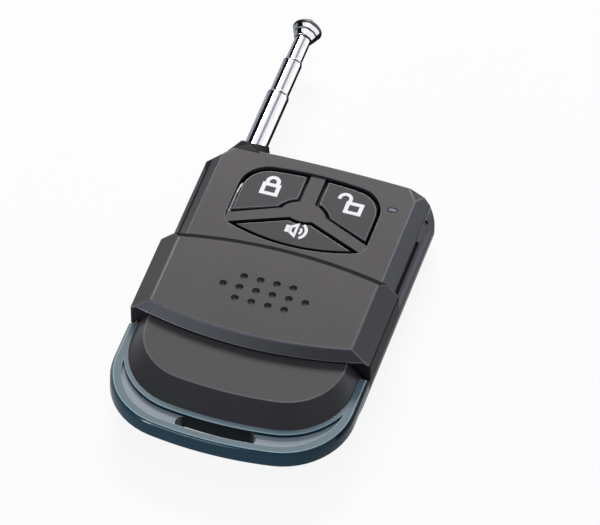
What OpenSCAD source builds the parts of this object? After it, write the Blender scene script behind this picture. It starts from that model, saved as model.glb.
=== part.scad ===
// Alarm key fob: a two-part case with a sliding cover over three buttons, a key loop clamped at the tail
// and a three-section antenna. It lies on its back: +Z is the button face, +Y points along the antenna,
// and the origin is the centre of the flat back.

/* [Case] */
// Width over the key loop and the cover's legs
body_w = 40; // [40:0.5:44]
// Length from the top end to the tail, without the antenna
body_l = 58.7; // [58.3:0.2:62.1]
// Height of the button face above the back
case_h = 10.3; // [10.3:0.1:11.5]
// Height of the joint between the two halves
part_z = 7.3; // [7.2:0.1:7.6]
// Height of the widest line of the case
rim_z = 5.1; // [4.9:0.1:5.4]
// How far the side slopes out from the face's edge to the widest line
side_run = 3.4; // [3.2:0.1:3.6]
// How far the back's edge lies inside the widest line
back_run = 2; // [1.8:0.1:2.4]
// Wall of the two halves
wall = 1.2; // [1:0.05:1.3]
// Thickness of the button face
face_t = 1; // [0.9:0.05:1.1]
// Thickness of the back
floor_t = 1.1; // [1:0.05:1.2]
// Bow of the top end, as a radius
top_arc = 300; // [240:10:400]
// Corner radius of the top end, on the side away from the antenna
corner_right = 3.5; // [2:0.5:4]
// Corner radius of the top end, on the antenna's side
corner_left = 0.6; // [0.4:0.1:1.2]
// Length of a corner facet along the top edge of the face
facet_in = 1.8; // [1.4:0.1:2]
// Length of a corner facet along the side edge of the face
facet_down = 2.4; // [2:0.1:2.6]
// Height of a facet's foot above the rim, on the side away from the antenna
facet_rise = 2.6; // [2:0.2:3]

/* [Tail] */
// Distance from the tail's end to the edge of the lower face
tail_reach = 8.6; // [8.4:0.1:9]
// How far the lower face slopes out to its foot
foot_run = 3.3; // [3:0.1:3.5]
// Corner radius of the lower face
face_r = 9.4; // [9:0.1:9.8]
// Corner radius of the foot of the lower face
foot_r = 11; // [10.6:0.1:11.4]
// Corner radius of the key loop
loop_r = 11.8; // [11.4:0.1:12.2]
// Bow of the tail's end, as a radius
end_arc = 64; // [56:2:80]
// Height of the key loop's underside
loop_z = 4.1; // [3.9:0.1:4.3]
// Gap between the key loop's arms and the closed cover's legs
arm_gap = 0.75; // [0.6:0.05:1]
// Depth of the crescent in the key loop
crescent_depth = 0.7; // [0.5:0.1:1]
// Width of the rim outside the crescent
crescent_rim = 1.25; // [1.1:0.05:1.4]
// Length of the key ring slot
slot_l = 13.2; // [12:0.2:14]

/* [Window and buttons] */
// Width of the button window
window_w = 23.8; // [23.4:0.1:24]
// Length of the button window on the centre line
window_l = 16.1; // [15.8:0.1:16.4]
// Distance from the top end to the window
window_in = 2.2; // [2.1:0.1:2.5]
// Corner radius at the top of the window
window_r = 5.2; // [4.6:0.2:5.8]
// Corner radius at the bottom of the window
window_low_r = 2.4; // [2:0.1:3]
// Depth of the web below the face
web_sunk = 0.4; // [0.3:0.05:0.45]
// Width of the upright arm of the web
web_stem = 2.4; // [2.2:0.1:2.8]
// Width of the slanted arms of the web
web_arm = 1.9; // [1.7:0.1:2.1]
// Slant of the web's side arms, in degrees
web_slant = 22.9; // [22:0.1:24]
// Gap round each button
button_gap = 0.6; // [0.5:0.05:0.7]
// Button top below the face
button_sunk = 0.4; // [0.3:0.05:0.45]
// Travel of a button
button_travel = 0.5; // [0.4:0.05:0.6]
// Length of the oval indicator lens
lens_l = 1.7; // [1.5:0.1:2]
// Width of the oval indicator lens
lens_w = 0.95; // [0.8:0.05:1.1]

/* [Sliding cover] */
// Height of the cover above the face
cover_rise = 2.26; // [2.2:0.02:2.6]
// Length of the cover's top on the centre line
cover_l = 18; // [17.6:0.2:18.4]
// Distance from the top end to the closed cover's upper edge
cover_back = 21.7; // [21.5:0.1:22.1]
// Drop of the cover's slanted sides
cover_side = 2.56; // [2.4:0.02:2.8]
// How far the front wall slopes out
front_run = 1.2; // [1:0.1:1.4]
// Bow of the cover's upper edge, as a radius
rear_arc = 77; // [70:1:90]
// How far the upper edge slopes out to the rear wall
rear_run = 1.5; // [1.2:0.1:1.7]
// Drop of the slope at the upper edge
rear_drop = 0.85; // [0.7:0.05:0.95]
// Bow of the cover's front edge, as a radius
front_arc = 68; // [62:1:80]
// Gap between the cover and the case
slide_gap = 0.25; // [0.2:0.05:0.3]
// Thickness of the cover's top
cover_t = 1.2; // [1.1:0.05:1.3]
// Travel of the cover
cover_travel = 19.6; // [19:0.1:20]
// Height of the rail groove
groove_h = 0.6; // [0.55:0.05:0.7]
// Length of the lips that run in the grooves
lip_l = 9.2; // [8.8:0.1:9.4]
// Distance between the thumb dimples in a row
dimple_pitch = 2.74; // [2.4:0.02:3]
// Distance between the rows of thumb dimples
dimple_rows = 2.36; // [2.1:0.02:2.6]
// Radius of the ball that makes a dimple
dimple_r = 0.7; // [0.6:0.05:0.8]

/* [Antenna] */
// Distance of the antenna from the centre line
antenna_x = 12.8; // [12.7:0.05:12.9]
// Depth of the antenna's axis below the joint of the halves
antenna_drop = 0.7; // [0.6:0.05:0.8]
// Diameter of the lower section
lower_d = 3.8; // [3.7:0.05:3.9]
// Wall of the tubes
tube_wall = 0.2; // [0.18:0.01:0.2]
// Running gap between two sections, on the radius
tube_gap = 0.05; // [0.04:0.01:0.06]
// Length of the lower section
lower_l = 34; // [33.6:0.1:34.4]
// Length of the two upper sections
upper_l = 33; // [32.6:0.1:33.2]
// How far the lower section is drawn out
lower_out = 15.6; // [15:0.1:16.5]
// How far the middle section is drawn out
middle_out = 7.8; // [7:0.1:8.4]
// How far the upper section is drawn out
upper_out = 5; // [4:0.1:6]
// Diameter of the antenna knob
tip_d = 5; // [4.6:0.1:5.4]
// Length of the antenna knob
tip_l = 5; // [4.6:0.1:5.4]
// Length of the collar outside the case
collar_l = 4.1; // [3.8:0.1:4.4]
// Slant of the collar's end above the antenna's axis, in degrees
collar_slant = 42; // [36:1:46]

/* [Inside] */
// Thickness of the circuit board
pcb_t = 1.2; // [1:0.1:1.3]
// Height of the board above the inside of the back
pcb_lift = 1.3; // [1.2:0.05:1.4]
// Width of a tact switch
switch_w = 6; // [5.8:0.1:6.2]
// Height of a tact switch with its plunger
switch_h = 4.25; // [4.1:0.05:4.3]
// Diameter of the battery
battery_d = 7.8; // [7.6:0.05:7.9]
// Length of the battery with its nub
battery_l = 28.2; // [27.8:0.1:28.4]
// Distance from the edge of the lower face to the battery's axis
battery_in = 8.4; // [8.2:0.1:8.8]
// Thickness of the contact strips
strip_t = 0.3; // [0.25:0.05:0.35]
// Thickness of the battery door
door_t = 0.9; // [0.8:0.05:0.95]
// Radius of a screw boss
boss_r = 1.5; // [1.4:0.05:1.6]
// Radius of a case screw's shank
screw_r = 0.8; // [0.7:0.05:0.85]

/* [Hidden] */
$fn = 64;
hull_fn = 48;
arc_fn = 240;
eps = 0.01;
past = 1;
fit = 0.05;

half_w = body_w/2;
top_y = body_l/2;
tail_y = -body_l/2;
rim_inset = 0.15;
rim_half = half_w - rim_inset;
face_half = rim_half - side_run;
face_under = case_h - face_t;
end_wall = 1.2;
in_top_y = top_y - end_wall;
face_low_y = tail_y + tail_reach;
foot_y = face_low_y - foot_run;
loop_t = part_z - loop_z;
loop_in_half = battery_l/2 + 2.1;
loop_in_y = foot_y + 2.4;
loop_in_r = 5;
back_half = rim_half - back_run;
back_low_y = foot_y + 3.2;

window_top_y = top_y - window_in;
window_low_y = window_top_y - window_l;
window_half = window_w/2;
window_low_arc = 31;
window_top_arc = 60;
hub_y = window_top_y - 8;
hub_arc = 4.3;
hub_off = 2.2;
web_y = hub_y + 0.1;
button_top = case_h - button_sunk;
flange_gap = 0.3;
flange_t = 0.55;
flange_out = 0.35;
button_low = face_under - flange_gap - flange_t;
key_pos = [[-6.5, window_top_y - 5.8], [6.5, window_top_y - 5.8], [0, window_low_y + 3.1]];
lens_pos = [window_half + 1.65, top_y - 5.84];

lens_flange = 0.4;
lens_flange_t = 0.8;

cover_top = case_h + cover_rise;
cover_half = face_half + 0.27;
cover_rear_y = top_y - cover_back;
cover_front_y = cover_rear_y - cover_l;
cover_mid_y = (cover_rear_y + cover_front_y)/2;
leg_front_y = cover_front_y + front_arc - sqrt(pow(front_arc + front_run, 2) - half_w*half_w);
loop_top_y = leg_front_y - arm_gap;
skirt_z = case_h + slide_gap;
leg_gap = slide_gap + 0.05;
leg_z = part_z - 1.1;
groove_z = part_z - groove_h;
groove_in = side_x(part_z) - wall;
lip_low_y = loop_top_y + 1;
lip_top_y = lip_low_y + lip_l;
groove_low_y = lip_low_y - 0.4;
groove_top_y = lip_top_y + cover_travel + 0.6;
lip_gap = 0.12;

antenna_z = part_z - antenna_drop;
lower_r = lower_d/2;
middle_r = lower_r - tube_wall - tube_gap;
upper_r = middle_r - tube_wall - tube_gap;
lower_top_y = top_y + lower_out;
middle_top_y = lower_top_y + middle_out;
upper_top_y = middle_top_y + upper_out;
stop_r = lower_r + 0.25;
stop_l = 1.5;
antenna_in = lower_out - collar_l + 0.4;
collar_neck_r = lower_r + 0.5;
collar_flange_r = lower_r + 0.7;
collar_base_r = lower_r + 2.2;
collar_end_r = lower_r + 0.3;
collar_flange_l = 1.1;
collar_seat_y = end_y(antenna_x + collar_base_r) - 0.1;
collar_end_y = top_y + collar_l;
collar_cut_z = antenna_z + 0.3;
collar_in_y = end_y(antenna_x + collar_flange_r) - end_wall - 0.1;

pcb_z = floor_t + pcb_lift;
pcb_top = pcb_z + pcb_t;
pcb_half = antenna_x + stop_r + 0.35;
battery_r = battery_d/2;
battery_y = face_low_y + battery_in;
door_low = 0.2;
door_gap = 0.2;
battery_z = door_low + door_t + 0.25 + battery_r;
pcb_reach = 13.1;
pcb_low_y = window_low_y - pcb_reach;
pcb_top_y = in_top_y - 1.4;
plunger_top = pcb_top + switch_h;
plunger_r = 1.7;
plunger_gap = 0.1;
stem_wall = 0.4;
frame_t = 0.3;
switch_body_h = 3;

screw_low = [groove_in - wall - boss_r - 0.15, battery_y + battery_r + boss_r + 1.4];
screw_top = [antenna_x - stop_r - 0.35 - boss_r, window_low_y - 2.4];
screw_pos = [for (s = [-1, 1], p = [screw_low, screw_top]) [s*p[0], p[1]]];
boss_z = pcb_top + 0.3;
pilot_r = screw_r - 0.1;
screw_head_r = boss_r - 0.2;
screw_head_h = 1.1;
screw_seat_z = 1.6;
screw_l = face_under - screw_seat_z - 0.9;
pcb_screw_pos = [[0, key_pos[0][1] + 3.4], [0, pcb_low_y + boss_r + 0.4]];
pcb_screw_r = 0.7;

saw_r = 4.4;
saw_h = 3.3;
saw_pos = [-5.2, window_low_y - 7.6];
trimmer_w = 4.4;
trimmer_pos = [3.6, screw_top[1] - 0.4];
transistor_pos = [-4.8, screw_top[1] + 1.2];
passive_pitch = 2.4;
clip_l = 5;
clip_w = 2.2;
grip_l = 12;
grip_pitch = 1.3;
lead_h = 2;
lead_w = 1.4;
chip_pos = [7.5, window_low_y - 8.4];
chip_size = [8.7, 3.9, 1.5];
chip_pitch = 1.27;
chip_leads = 7;

contact_x = battery_l/2 + 0.05;
rib_x = loop_in_half - 0.1;
rib_l = 5.6;
rib_h = part_z - 1 - floor_t;
spring_depth = 1.2;
bay_gap = 0.1;
door_half = battery_l/2 + 0.1;
door_top_y = battery_y + battery_r + 0.9;
tongue_w = 0.55;
tongue_t = 0.3;
tongue_low = 0.4;
tongue_gap = 0.1;
peg_r = 0.7;
peg_h = 0.95;
peg_in = 2.6;
peg_pos = [side_x(part_z) - peg_r - 0.4, loop_top_y - peg_in];

// Half width of the slanted side at a height
function side_x(z) = face_half + (case_h - z)*side_run/(case_h - rim_z);

// Place of the bowed top end at a distance from the centre line
function end_y(x) = top_y - top_arc + sqrt(top_arc*top_arc - x*x);

// Points of an arc, without its first end
function arc_points(centre, r, from, to, steps) =
    [for (i = [1:steps]) let (a = from + (to - from)*i/steps) centre + r*[cos(a), sin(a)]];

// Long plan with two round corners and a bowed end at the tail
module tail_plan(half, corner, end_y, top, arc = end_arc) {
    corner_x = half - corner;
    corner_y = end_y + arc - sqrt(pow(arc - corner, 2) - corner_x*corner_x);
    turn = asin(corner_x/(arc - corner));
    steps = round($fn/4);
    high = max(top, corner_y) + past;
    intersection() {
        translate([-half - past, end_y - past]) square([2*half + 2*past, top - end_y + past]);
        polygon(concat(
            arc_points([0, end_y + arc], arc, -90 - turn, -90 + turn, steps),
            arc_points([corner_x, corner_y], corner, -90 + turn, 0, steps),
            [[half, high], [-half, high], [-half, corner_y]],
            arc_points([-corner_x, corner_y], corner, 180, 270 - turn, steps)));
    }
}

// Thin slice of a plan at a height, for blending between heights
module slice(z, half, corner, end_y, top = top_y + past) {
    translate([0, 0, z]) linear_extrude(eps) tail_plan(half, corner, end_y, top, $fn = hull_fn);
}

// Plan of the case at its widest, with the bowed top end and its two corners
module case_plan() {
    intersection() {
        translate([0, top_y - top_arc]) circle(top_arc, $fn = arc_fn);
        union() {
            translate([-rim_half, tail_y]) square([2*rim_half - corner_right, body_l - corner_left]);
            translate([-rim_half, tail_y]) square([2*rim_half, body_l - corner_right]);
            translate([corner_left - rim_half, tail_y])
                square([2*rim_half - corner_left - corner_right, body_l + past]);
            translate([corner_left - rim_half, top_y - corner_left]) circle(corner_left);
            translate([rim_half - corner_right, top_y - corner_right]) circle(corner_right);
        }
    }
}

// Room up to the inside of the bowed top end
module inner_end() {
    translate([0, top_y - top_arc, -past])
        cylinder(h = case_h + 2*past, r = top_arc - end_wall, $fn = arc_fn);
}

// Cutter for the sloping facet at a corner of the top end, down to a foot at a height
module corner_facet(foot_z) {
    edge = [face_half - facet_in, end_y(face_half - facet_in), case_h];
    side = [face_half - 0.3, top_y - facet_down, case_h];
    foot = [rim_half, end_y(rim_half), foot_z];
    normal = cross(side - edge, foot - edge);
    reach = body_w/2;
    translate(edge)
        rotate([0, acos(normal[2]/norm(normal)), atan2(normal[1], normal[0])])
        translate([-reach, -reach, 0])
        cube([2*reach, 2*reach, reach]);
}

module corner_facets() {
    corner_facet(rim_z + facet_rise);
    mirror([1, 0, 0]) corner_facet(rim_z);
}

// Shield-shaped button window, drawn in by an inset
module window_plan(inset = 0) {
    top_turn = asin((window_half - window_r)/(window_top_arc - window_r));
    low_turn = asin((window_half - window_low_r)/(window_low_arc - window_low_r));
    top_middle = [0, window_top_y - window_top_arc];
    low_middle = [0, window_low_y + window_low_arc];
    top_corner = top_middle + (window_top_arc - window_r)*[sin(top_turn), cos(top_turn)];
    low_corner = low_middle + (window_low_arc - window_low_r)*[sin(low_turn), -cos(low_turn)];
    half = window_half - inset;
    steps = 12;
    polygon(concat(
        arc_points(low_middle, window_low_arc - inset, -90 - low_turn, -90 + low_turn, steps),
        arc_points(low_corner, window_low_r - inset, -90 + low_turn, 0, steps),
        [[half, top_corner[1]]],
        arc_points(top_corner, window_r - inset, 0, 90 - top_turn, steps),
        arc_points(top_middle, window_top_arc - inset, 90 - top_turn, 90 + top_turn, steps),
        arc_points([-top_corner[0], top_corner[1]], window_r - inset, 90 + top_turn, 180, steps),
        [[-half, low_corner[1]]],
        arc_points([-low_corner[0], low_corner[1]], window_low_r - inset, 180, 270 - low_turn, steps)));
}

// Y-shaped web between the buttons, widened by a margin
module web_plan(margin = 0) {
    reach = window_w;
    stem = web_stem/2 + margin;
    arm = web_arm/2 + margin;
    translate([-stem, web_y]) square([2*stem, reach]);
    translate([0, web_y]) rotate(web_slant) translate([-reach, -arm]) square([reach, 2*arm]);
    translate([0, web_y]) rotate(-web_slant) translate([0, -arm]) square([reach, 2*arm]);
    intersection() {
        translate([0, hub_y + hub_off]) circle(hub_arc + margin);
        translate([0, hub_y - hub_off]) circle(hub_arc + margin);
    }
}

// Field of the window that one button takes: 0 left, 1 right, 2 below
module button_field(key) {
    reach = window_w;
    drop = reach*tan(web_slant);
    if (key == 2)
        polygon([[0, web_y], [-reach, web_y - drop], [-reach, web_y - 2*reach],
            [reach, web_y - 2*reach], [reach, web_y - drop]]);
    else
        mirror([key, 0])
            polygon([[0, web_y], [0, web_y + reach], [-reach, web_y + reach], [-reach, web_y - drop]]);
}

module button_plan(key, inset) {
    intersection() {
        difference() {
            window_plan(inset);
            web_plan(inset);
        }
        button_field(key);
    }
}

// Straight hole or rod with round ends, along X
module oval(length, width) {
    straight = length - width;
    translate([-straight/2, -width/2]) square([straight, width]);
    for (s = [-1, 1]) translate([s*straight/2, 0]) circle(width/2);
}

// Rod along the antenna from one station to the next
module antenna_rod(r, from_y, to_y) {
    translate([-antenna_x, from_y, antenna_z]) rotate([-90, 0, 0]) cylinder(h = to_y - from_y, r = r);
}

// Room for the antenna with its stop ring over the whole travel
module antenna_bay() {
    antenna_rod(stop_r + 0.3, lower_top_y - lower_l - antenna_in - 0.2, collar_in_y - collar_flange_l);
}

// Room for the battery and its two contacts
module battery_bay() {
    translate([-battery_l/2 - fit, battery_y, battery_z]) rotate([0, 90, 0])
        cylinder(h = battery_l + 2*fit, r = battery_r + bay_gap);
    translate([-contact_x - spring_depth, battery_y - rib_l/2 - bay_gap, floor_t + bay_gap])
        cube([2*contact_x + spring_depth + strip_t, rib_l + 2*bay_gap, rib_h - 2*bay_gap]);
}

// Outer form of the front half
module front_form() {
    difference() {
        intersection() {
            hull() {
                slice(case_h - eps, face_half, face_r, face_low_y);
                slice(part_z, side_x(part_z), foot_r, foot_y);
            }
            linear_extrude(case_h + past) case_plan();
        }
        corner_facets();
    }
}

// Outer form of the rear half, before the key loop's seat is cut
module rear_form() {
    difference() {
        intersection() {
            hull() {
                slice(part_z - eps, side_x(part_z), foot_r, foot_y);
                slice(rim_z, rim_half, foot_r + 1, foot_y - 0.4);
                slice(loop_z - 0.4, rim_half, foot_r + 1, foot_y - 0.4);
                slice(0, back_half, foot_r - 1, back_low_y);
            }
            linear_extrude(part_z + past) case_plan();
        }
        corner_facets();
    }
}

module front_case() {
    color([0.33, 0.31, 0.3]) {
        difference() {
            front_form();
            intersection() {
                hull() {
                    slice(part_z - eps, side_x(part_z) - wall - 0.1, foot_r - wall, foot_y + 2.2);
                    slice(face_under - eps, side_x(face_under) - wall, face_r - wall, face_low_y + wall);
                }
                inner_end();
            }
            translate([0, 0, case_h - web_sunk]) linear_extrude(past) window_plan();
            translate([0, 0, face_under - past]) linear_extrude(case_h) difference() {
                window_plan();
                web_plan();
            }
            translate([lens_pos[0], lens_pos[1], face_under - past])
                linear_extrude(case_h) oval(lens_l + 2*fit, lens_w + 2*fit);
            collar_hole();
            antenna_bay();
            battery_bay();
            translate([lens_pos[0], lens_pos[1], part_z - past]) linear_extrude(face_under - part_z + past)
                oval(lens_l + 2*lens_flange + 2*fit, lens_w + 2*lens_flange + 2*fit);
        }
        for (p = screw_pos) front_boss(p);
        for (s = [-1, 1]) translate([s*peg_pos[0], peg_pos[1], part_z - peg_h])
            cylinder(h = peg_h + 0.1, r = peg_r);
    }
}

// Hole for the antenna collar in the top end, with a flat seat for its flange
module collar_hole() {
    antenna_rod(collar_neck_r + fit, collar_in_y - past, top_y + past);
    antenna_rod(collar_base_r + fit, collar_seat_y, top_y + past);
}

// Small holes beside the joint, near the top of each side
module side_holes() {
    for (s = [-1, 1])
        translate([s*side_x(part_z - 0.5), top_y - 3.8, part_z - 0.5])
        rotate([0, s*90, 0])
        cylinder(h = 1.4, r = 0.42, center = true);
}

module front_boss(p) {
    difference() {
        translate([p[0], p[1], boss_z]) cylinder(h = face_under - boss_z + 0.1, r = boss_r);
        translate([p[0], p[1], boss_z - past]) cylinder(h = screw_seat_z + screw_l - boss_z + past + 0.3, r = pilot_r);
    }
}

module rear_case() {
    color([0.27, 0.26, 0.27]) {
        difference() {
            union() {
                difference() {
                    rear_form();
                    intersection() {
                        hull() {
                            slice(floor_t, back_half - wall, foot_r - 1 - wall, back_low_y + wall + 0.2);
                            slice(rim_z, rim_half - 2*wall, foot_r, foot_y + 1.6);
                            slice(part_z, groove_in - wall, foot_r, foot_y + 3.6);
                        }
                        inner_end();
                    }
                    key_loop_seat();
                    rail_grooves();
                    collar_hole();
                    antenna_bay();
                    battery_bay();
                    side_holes();
                }
                for (p = screw_pos) translate([p[0], p[1], floor_t - 0.1])
                    cylinder(h = boss_z - fit - floor_t + 0.1, r = boss_r);
                for (p = pcb_screw_pos) translate([p[0], p[1], floor_t - 0.1])
                    cylinder(h = pcb_z - floor_t + 0.1, r = boss_r);
                contact_ribs();
            }
            for (p = screw_pos) translate([p[0], p[1], -past]) {
                cylinder(h = boss_z + 2*past, r = screw_r + fit);
                cylinder(h = screw_seat_z + past, r = screw_head_r + fit);
            }
            for (p = pcb_screw_pos) translate([p[0], p[1], floor_t]) cylinder(h = pcb_z, r = pcb_screw_r - 0.1);
            door_way();
        }
    }
}

// Room for the key loop above the lower part of the rear half
module key_loop_seat() {
    translate([-half_w - past, tail_y - past, loop_z])
        cube([body_w + 2*past, loop_top_y + fit - tail_y + past, loop_t + past]);
}

// Grooves under the joint, in which the cover's lips run
module rail_grooves() {
    for (s = [-1, 1])
        translate([s*(groove_in + half_w/2), (groove_low_y + groove_top_y)/2, groove_z + groove_h])
        cube([half_w, groove_top_y - groove_low_y, 2*groove_h], center = true);
}

// Ribs behind the battery contacts
module contact_ribs() {
    plate_back = contact_x + strip_t;
    spring_back = contact_x + spring_depth;
    translate([plate_back, battery_y - rib_l/2, floor_t - 0.1]) cube([rib_x - plate_back, rib_l, rib_h]);
    translate([-rib_x, battery_y - rib_l/2, floor_t - 0.1]) cube([rib_x - spring_back, rib_l, rib_h]);
}

// Opening of the battery door with the grooves for its tongues
module door_way() {
    opening = door_half + door_gap;
    length = door_top_y + door_gap - tail_y + past;
    translate([-opening, tail_y - past, -past]) cube([2*opening, length, floor_t + past + 0.1]);
    groove_half = door_half + tongue_w + door_gap;
    translate([-groove_half, tail_y - past, tongue_low - tongue_gap])
        cube([2*groove_half, length, tongue_t + 2*tongue_gap]);
}

module key_loop() {
    color([0.3, 0.42, 0.45]) difference() {
        hull() {
            slice(loop_z, half_w - 0.4, loop_r - 0.4, tail_y + 0.5, loop_top_y);
            slice(loop_z + 0.7, half_w, loop_r, tail_y, loop_top_y);
            slice(part_z - 0.6, half_w, loop_r, tail_y + 0.3, loop_top_y);
            slice(part_z - eps, half_w - 0.5, loop_r - 0.5, tail_y + 0.8, loop_top_y);
        }
        translate([0, 0, loop_z - past]) linear_extrude(loop_t + 2*past)
            tail_plan(loop_in_half, loop_in_r, loop_in_y, loop_top_y + past);
        translate([0, 0, part_z - crescent_depth]) linear_extrude(past) crescent_plan();
        translate([0, 0, loop_z - past]) linear_extrude(loop_t + 2*past) slot_plan();
        for (s = [-1, 1]) translate([s*peg_pos[0], peg_pos[1], part_z - peg_h - 0.1])
            cylinder(h = peg_h + past, r = peg_r + fit);
    }
}

// Crescent between the rim of the loop and the foot of the lower face
module crescent_plan() {
    difference() {
        tail_plan(half_w - crescent_rim - 0.5, loop_r - crescent_rim, tail_y + 0.7 + crescent_rim, loop_top_y);
        tail_plan(half_w - 0.9, foot_r + 0.9, foot_y - 0.9, loop_top_y + past);
    }
}

// Key ring slot: the middle of the crescent, with round ends
module slot_plan() {
    outer_y = tail_y + 0.7 + crescent_rim;
    inner_y = foot_y - 0.9;
    end_r = (inner_y - outer_y)/2 - 0.05;
    end_x = slot_l/2 - end_r;
    mid_y = (outer_y + inner_y)/2 + end_x*end_x/(2*end_arc);
    intersection() {
        crescent_plan();
        translate([-end_x, outer_y - past]) square([2*end_x, inner_y - outer_y + 2*past]);
    }
    for (s = [-1, 1]) translate([s*end_x, mid_y]) circle(end_r);
}

module sliding_cover() {
    length = cover_l + rear_run + 4*front_run;
    color([0.34, 0.32, 0.31]) difference() {
        intersection() {
            translate([0, cover_rear_y + rear_run + past, 0]) rotate([90, 0, 0]) linear_extrude(length)
                polygon([[-half_w, leg_z], [half_w, leg_z], [half_w, cover_top - cover_side],
                    [cover_half, cover_top], [-cover_half, cover_top], [-half_w, cover_top - cover_side]]);
            translate([0, cover_front_y + front_arc, 0]) cover_front(0);
            translate([0, cover_rear_y - rear_arc, 0]) cover_rear();
        }
        cover_channel();
        intersection() {
            translate([-cover_half + 1.6, cover_front_y, skirt_z - past])
                cube([2*cover_half - 3.2, cover_l + rear_run, cover_top - cover_t - skirt_z + past]);
            translate([0, cover_front_y + front_arc, 0])
                cylinder(h = 2*cover_top, r = front_arc - 1, $fn = arc_fn);
            translate([0, cover_rear_y - rear_arc, 0])
                cylinder(h = 2*cover_top, r = rear_arc + rear_run - wall, $fn = arc_fn);
        }
        thumb_dimples();
    }
}

// Front wall of the cover: sloped above the face, upright at the legs
module cover_front(inset) {
    translate([0, 0, skirt_z])
        cylinder(h = cover_top - skirt_z, r1 = front_arc + front_run - inset, r2 = front_arc - inset, $fn = arc_fn);
    cylinder(h = skirt_z, r = front_arc + front_run - inset, $fn = arc_fn);
}

// Rear wall of the cover: upright, with a shallow slope up to the top
module cover_rear() {
    slope_z = cover_top - rear_drop;
    cylinder(h = slope_z, r = rear_arc + rear_run, $fn = arc_fn);
    translate([0, 0, slope_z]) cylinder(h = rear_drop, r1 = rear_arc + rear_run, r2 = rear_arc, $fn = arc_fn);
}

// Room for the case under the cover, less the lips that hook into the rail grooves
module cover_channel() {
    difference() {
        translate([0, top_y, 0]) rotate([90, 0, 0]) linear_extrude(body_l)
            polygon([[-side_x(0) - leg_gap, 0], [side_x(0) + leg_gap, 0],
                [face_half + leg_gap, skirt_z], [-face_half - leg_gap, skirt_z]]);
        for (s = [-1, 1])
            translate([s*(groove_in + leg_gap + half_w/2), lip_low_y + lip_l/2, groove_z + groove_h/2])
            cube([half_w, lip_l, groove_h - 2*lip_gap], center = true);
    }
}

module thumb_dimples() {
    for (row = [-1, 0, 1]) {
        count = row == 0 ? 6 : 4;
        for (i = [0:count - 1])
            translate([(i - (count - 1)/2)*dimple_pitch, cover_mid_y + row*dimple_rows, cover_top + dimple_r*0.4])
            sphere(dimple_r);
    }
}

module button(key) {
    p = key_pos[key];
    stem_low = pcb_top + switch_body_h + frame_t + button_travel + 0.2;
    color([0.29, 0.29, 0.3]) difference() {
        union() {
            translate([0, 0, button_low]) linear_extrude(button_top - button_low) button_plan(key, button_gap);
            translate([0, 0, button_low]) linear_extrude(flange_t) intersection() {
                button_plan(key, -flange_out);
                translate([-window_half + 1, window_low_y - past]) square([window_w - 2, window_l + 2*past]);
            }
            translate([p[0], p[1], stem_low]) cylinder(h = button_low - stem_low + 0.1, r = plunger_r + stem_wall);
        }
        translate([p[0], p[1], stem_low - past]) cylinder(h = plunger_top - stem_low + past, r = plunger_r);
    }
}

module lock_button() button(0);
module unlock_button() button(1);
module alarm_button() button(2);

module light_pipe() {
    low = pcb_top + 0.8;
    color([0.55, 0.6, 0.68, 0.8]) translate([lens_pos[0], lens_pos[1], 0]) {
        translate([0, 0, low]) linear_extrude(case_h - low) oval(lens_l, lens_w);
        translate([0, 0, face_under - lens_flange_t]) linear_extrude(lens_flange_t)
            oval(lens_l + 2*lens_flange, lens_w + 2*lens_flange);
    }
}

// Conical collar, level with the face at its root and cut on the slant where the antenna leaves it
module antenna_collar() {
    color([0.12, 0.12, 0.13]) difference() {
        intersection() {
            union() {
                translate([-antenna_x, collar_seat_y, antenna_z]) rotate([-90, 0, 0])
                    cylinder(h = collar_end_y - collar_seat_y, r1 = collar_base_r, r2 = collar_end_r);
                antenna_rod(collar_neck_r, collar_in_y - collar_flange_l, collar_seat_y + 0.1);
                antenna_rod(collar_flange_r, collar_in_y - collar_flange_l, collar_in_y);
            }
            translate([-antenna_x - body_w/2, 0, 0]) cube([body_w, body_l, case_h]);
        }
        translate([-antenna_x - collar_base_r, collar_end_y, collar_cut_z]) rotate([collar_slant, 0, 0])
            cube([2*collar_base_r, 2*collar_l, 2*collar_l]);
        antenna_rod(lower_r + tube_gap, collar_in_y - 2*collar_flange_l, collar_end_y + past);
    }
}

// Thin tube with a chamfered mouth
module antenna_tube(r, top, length) {
    lip = tube_wall/2;
    translate([-antenna_x, top - length, antenna_z]) rotate([-90, 0, 0]) rotate_extrude()
        polygon([[r - tube_wall, 0], [r, 0], [r, length - 3*lip], [r - lip, length], [r - tube_wall, length]]);
}

module antenna_lower() {
    color([0.8, 0.8, 0.82]) antenna_tube(lower_r, lower_top_y, lower_l);
}

module antenna_middle() {
    color([0.8, 0.8, 0.82]) antenna_tube(middle_r, middle_top_y, upper_l);
}

module antenna_upper() {
    color([0.8, 0.8, 0.82]) antenna_rod(upper_r, upper_top_y - upper_l, upper_top_y);
}

module antenna_stop() {
    low_y = lower_top_y - lower_l;
    color([0.75, 0.6, 0.3]) difference() {
        antenna_rod(stop_r, low_y, low_y + stop_l);
        antenna_rod(lower_r, low_y - past, low_y + stop_l + past);
    }
}

module antenna_tip() {
    rim = tip_d/2;
    cone = tip_l*0.45;
    band = tip_l*0.3;
    color([0.82, 0.82, 0.84])
        translate([-antenna_x, upper_top_y, antenna_z]) rotate([-90, 0, 0]) rotate_extrude()
        polygon([[0, 0], [upper_r + 0.1, 0], [rim - 0.15, cone], [rim, cone + 0.15], [rim, cone + band],
            [rim - 0.5, cone + band + 0.7], [rim - 1.3, tip_l - 0.2], [0, tip_l]]);
}

module pcb() {
    color([0.1, 0.35, 0.2]) difference() {
        translate([-pcb_half, pcb_low_y, pcb_z]) cube([2*pcb_half, pcb_top_y - pcb_low_y, pcb_t]);
        for (p = screw_pos) translate([p[0], p[1], 0]) cylinder(h = case_h, r = boss_r + 0.3);
        for (p = pcb_screw_pos) translate([p[0], p[1], 0]) cylinder(h = case_h, r = pcb_screw_r + fit);
    }
}

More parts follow.
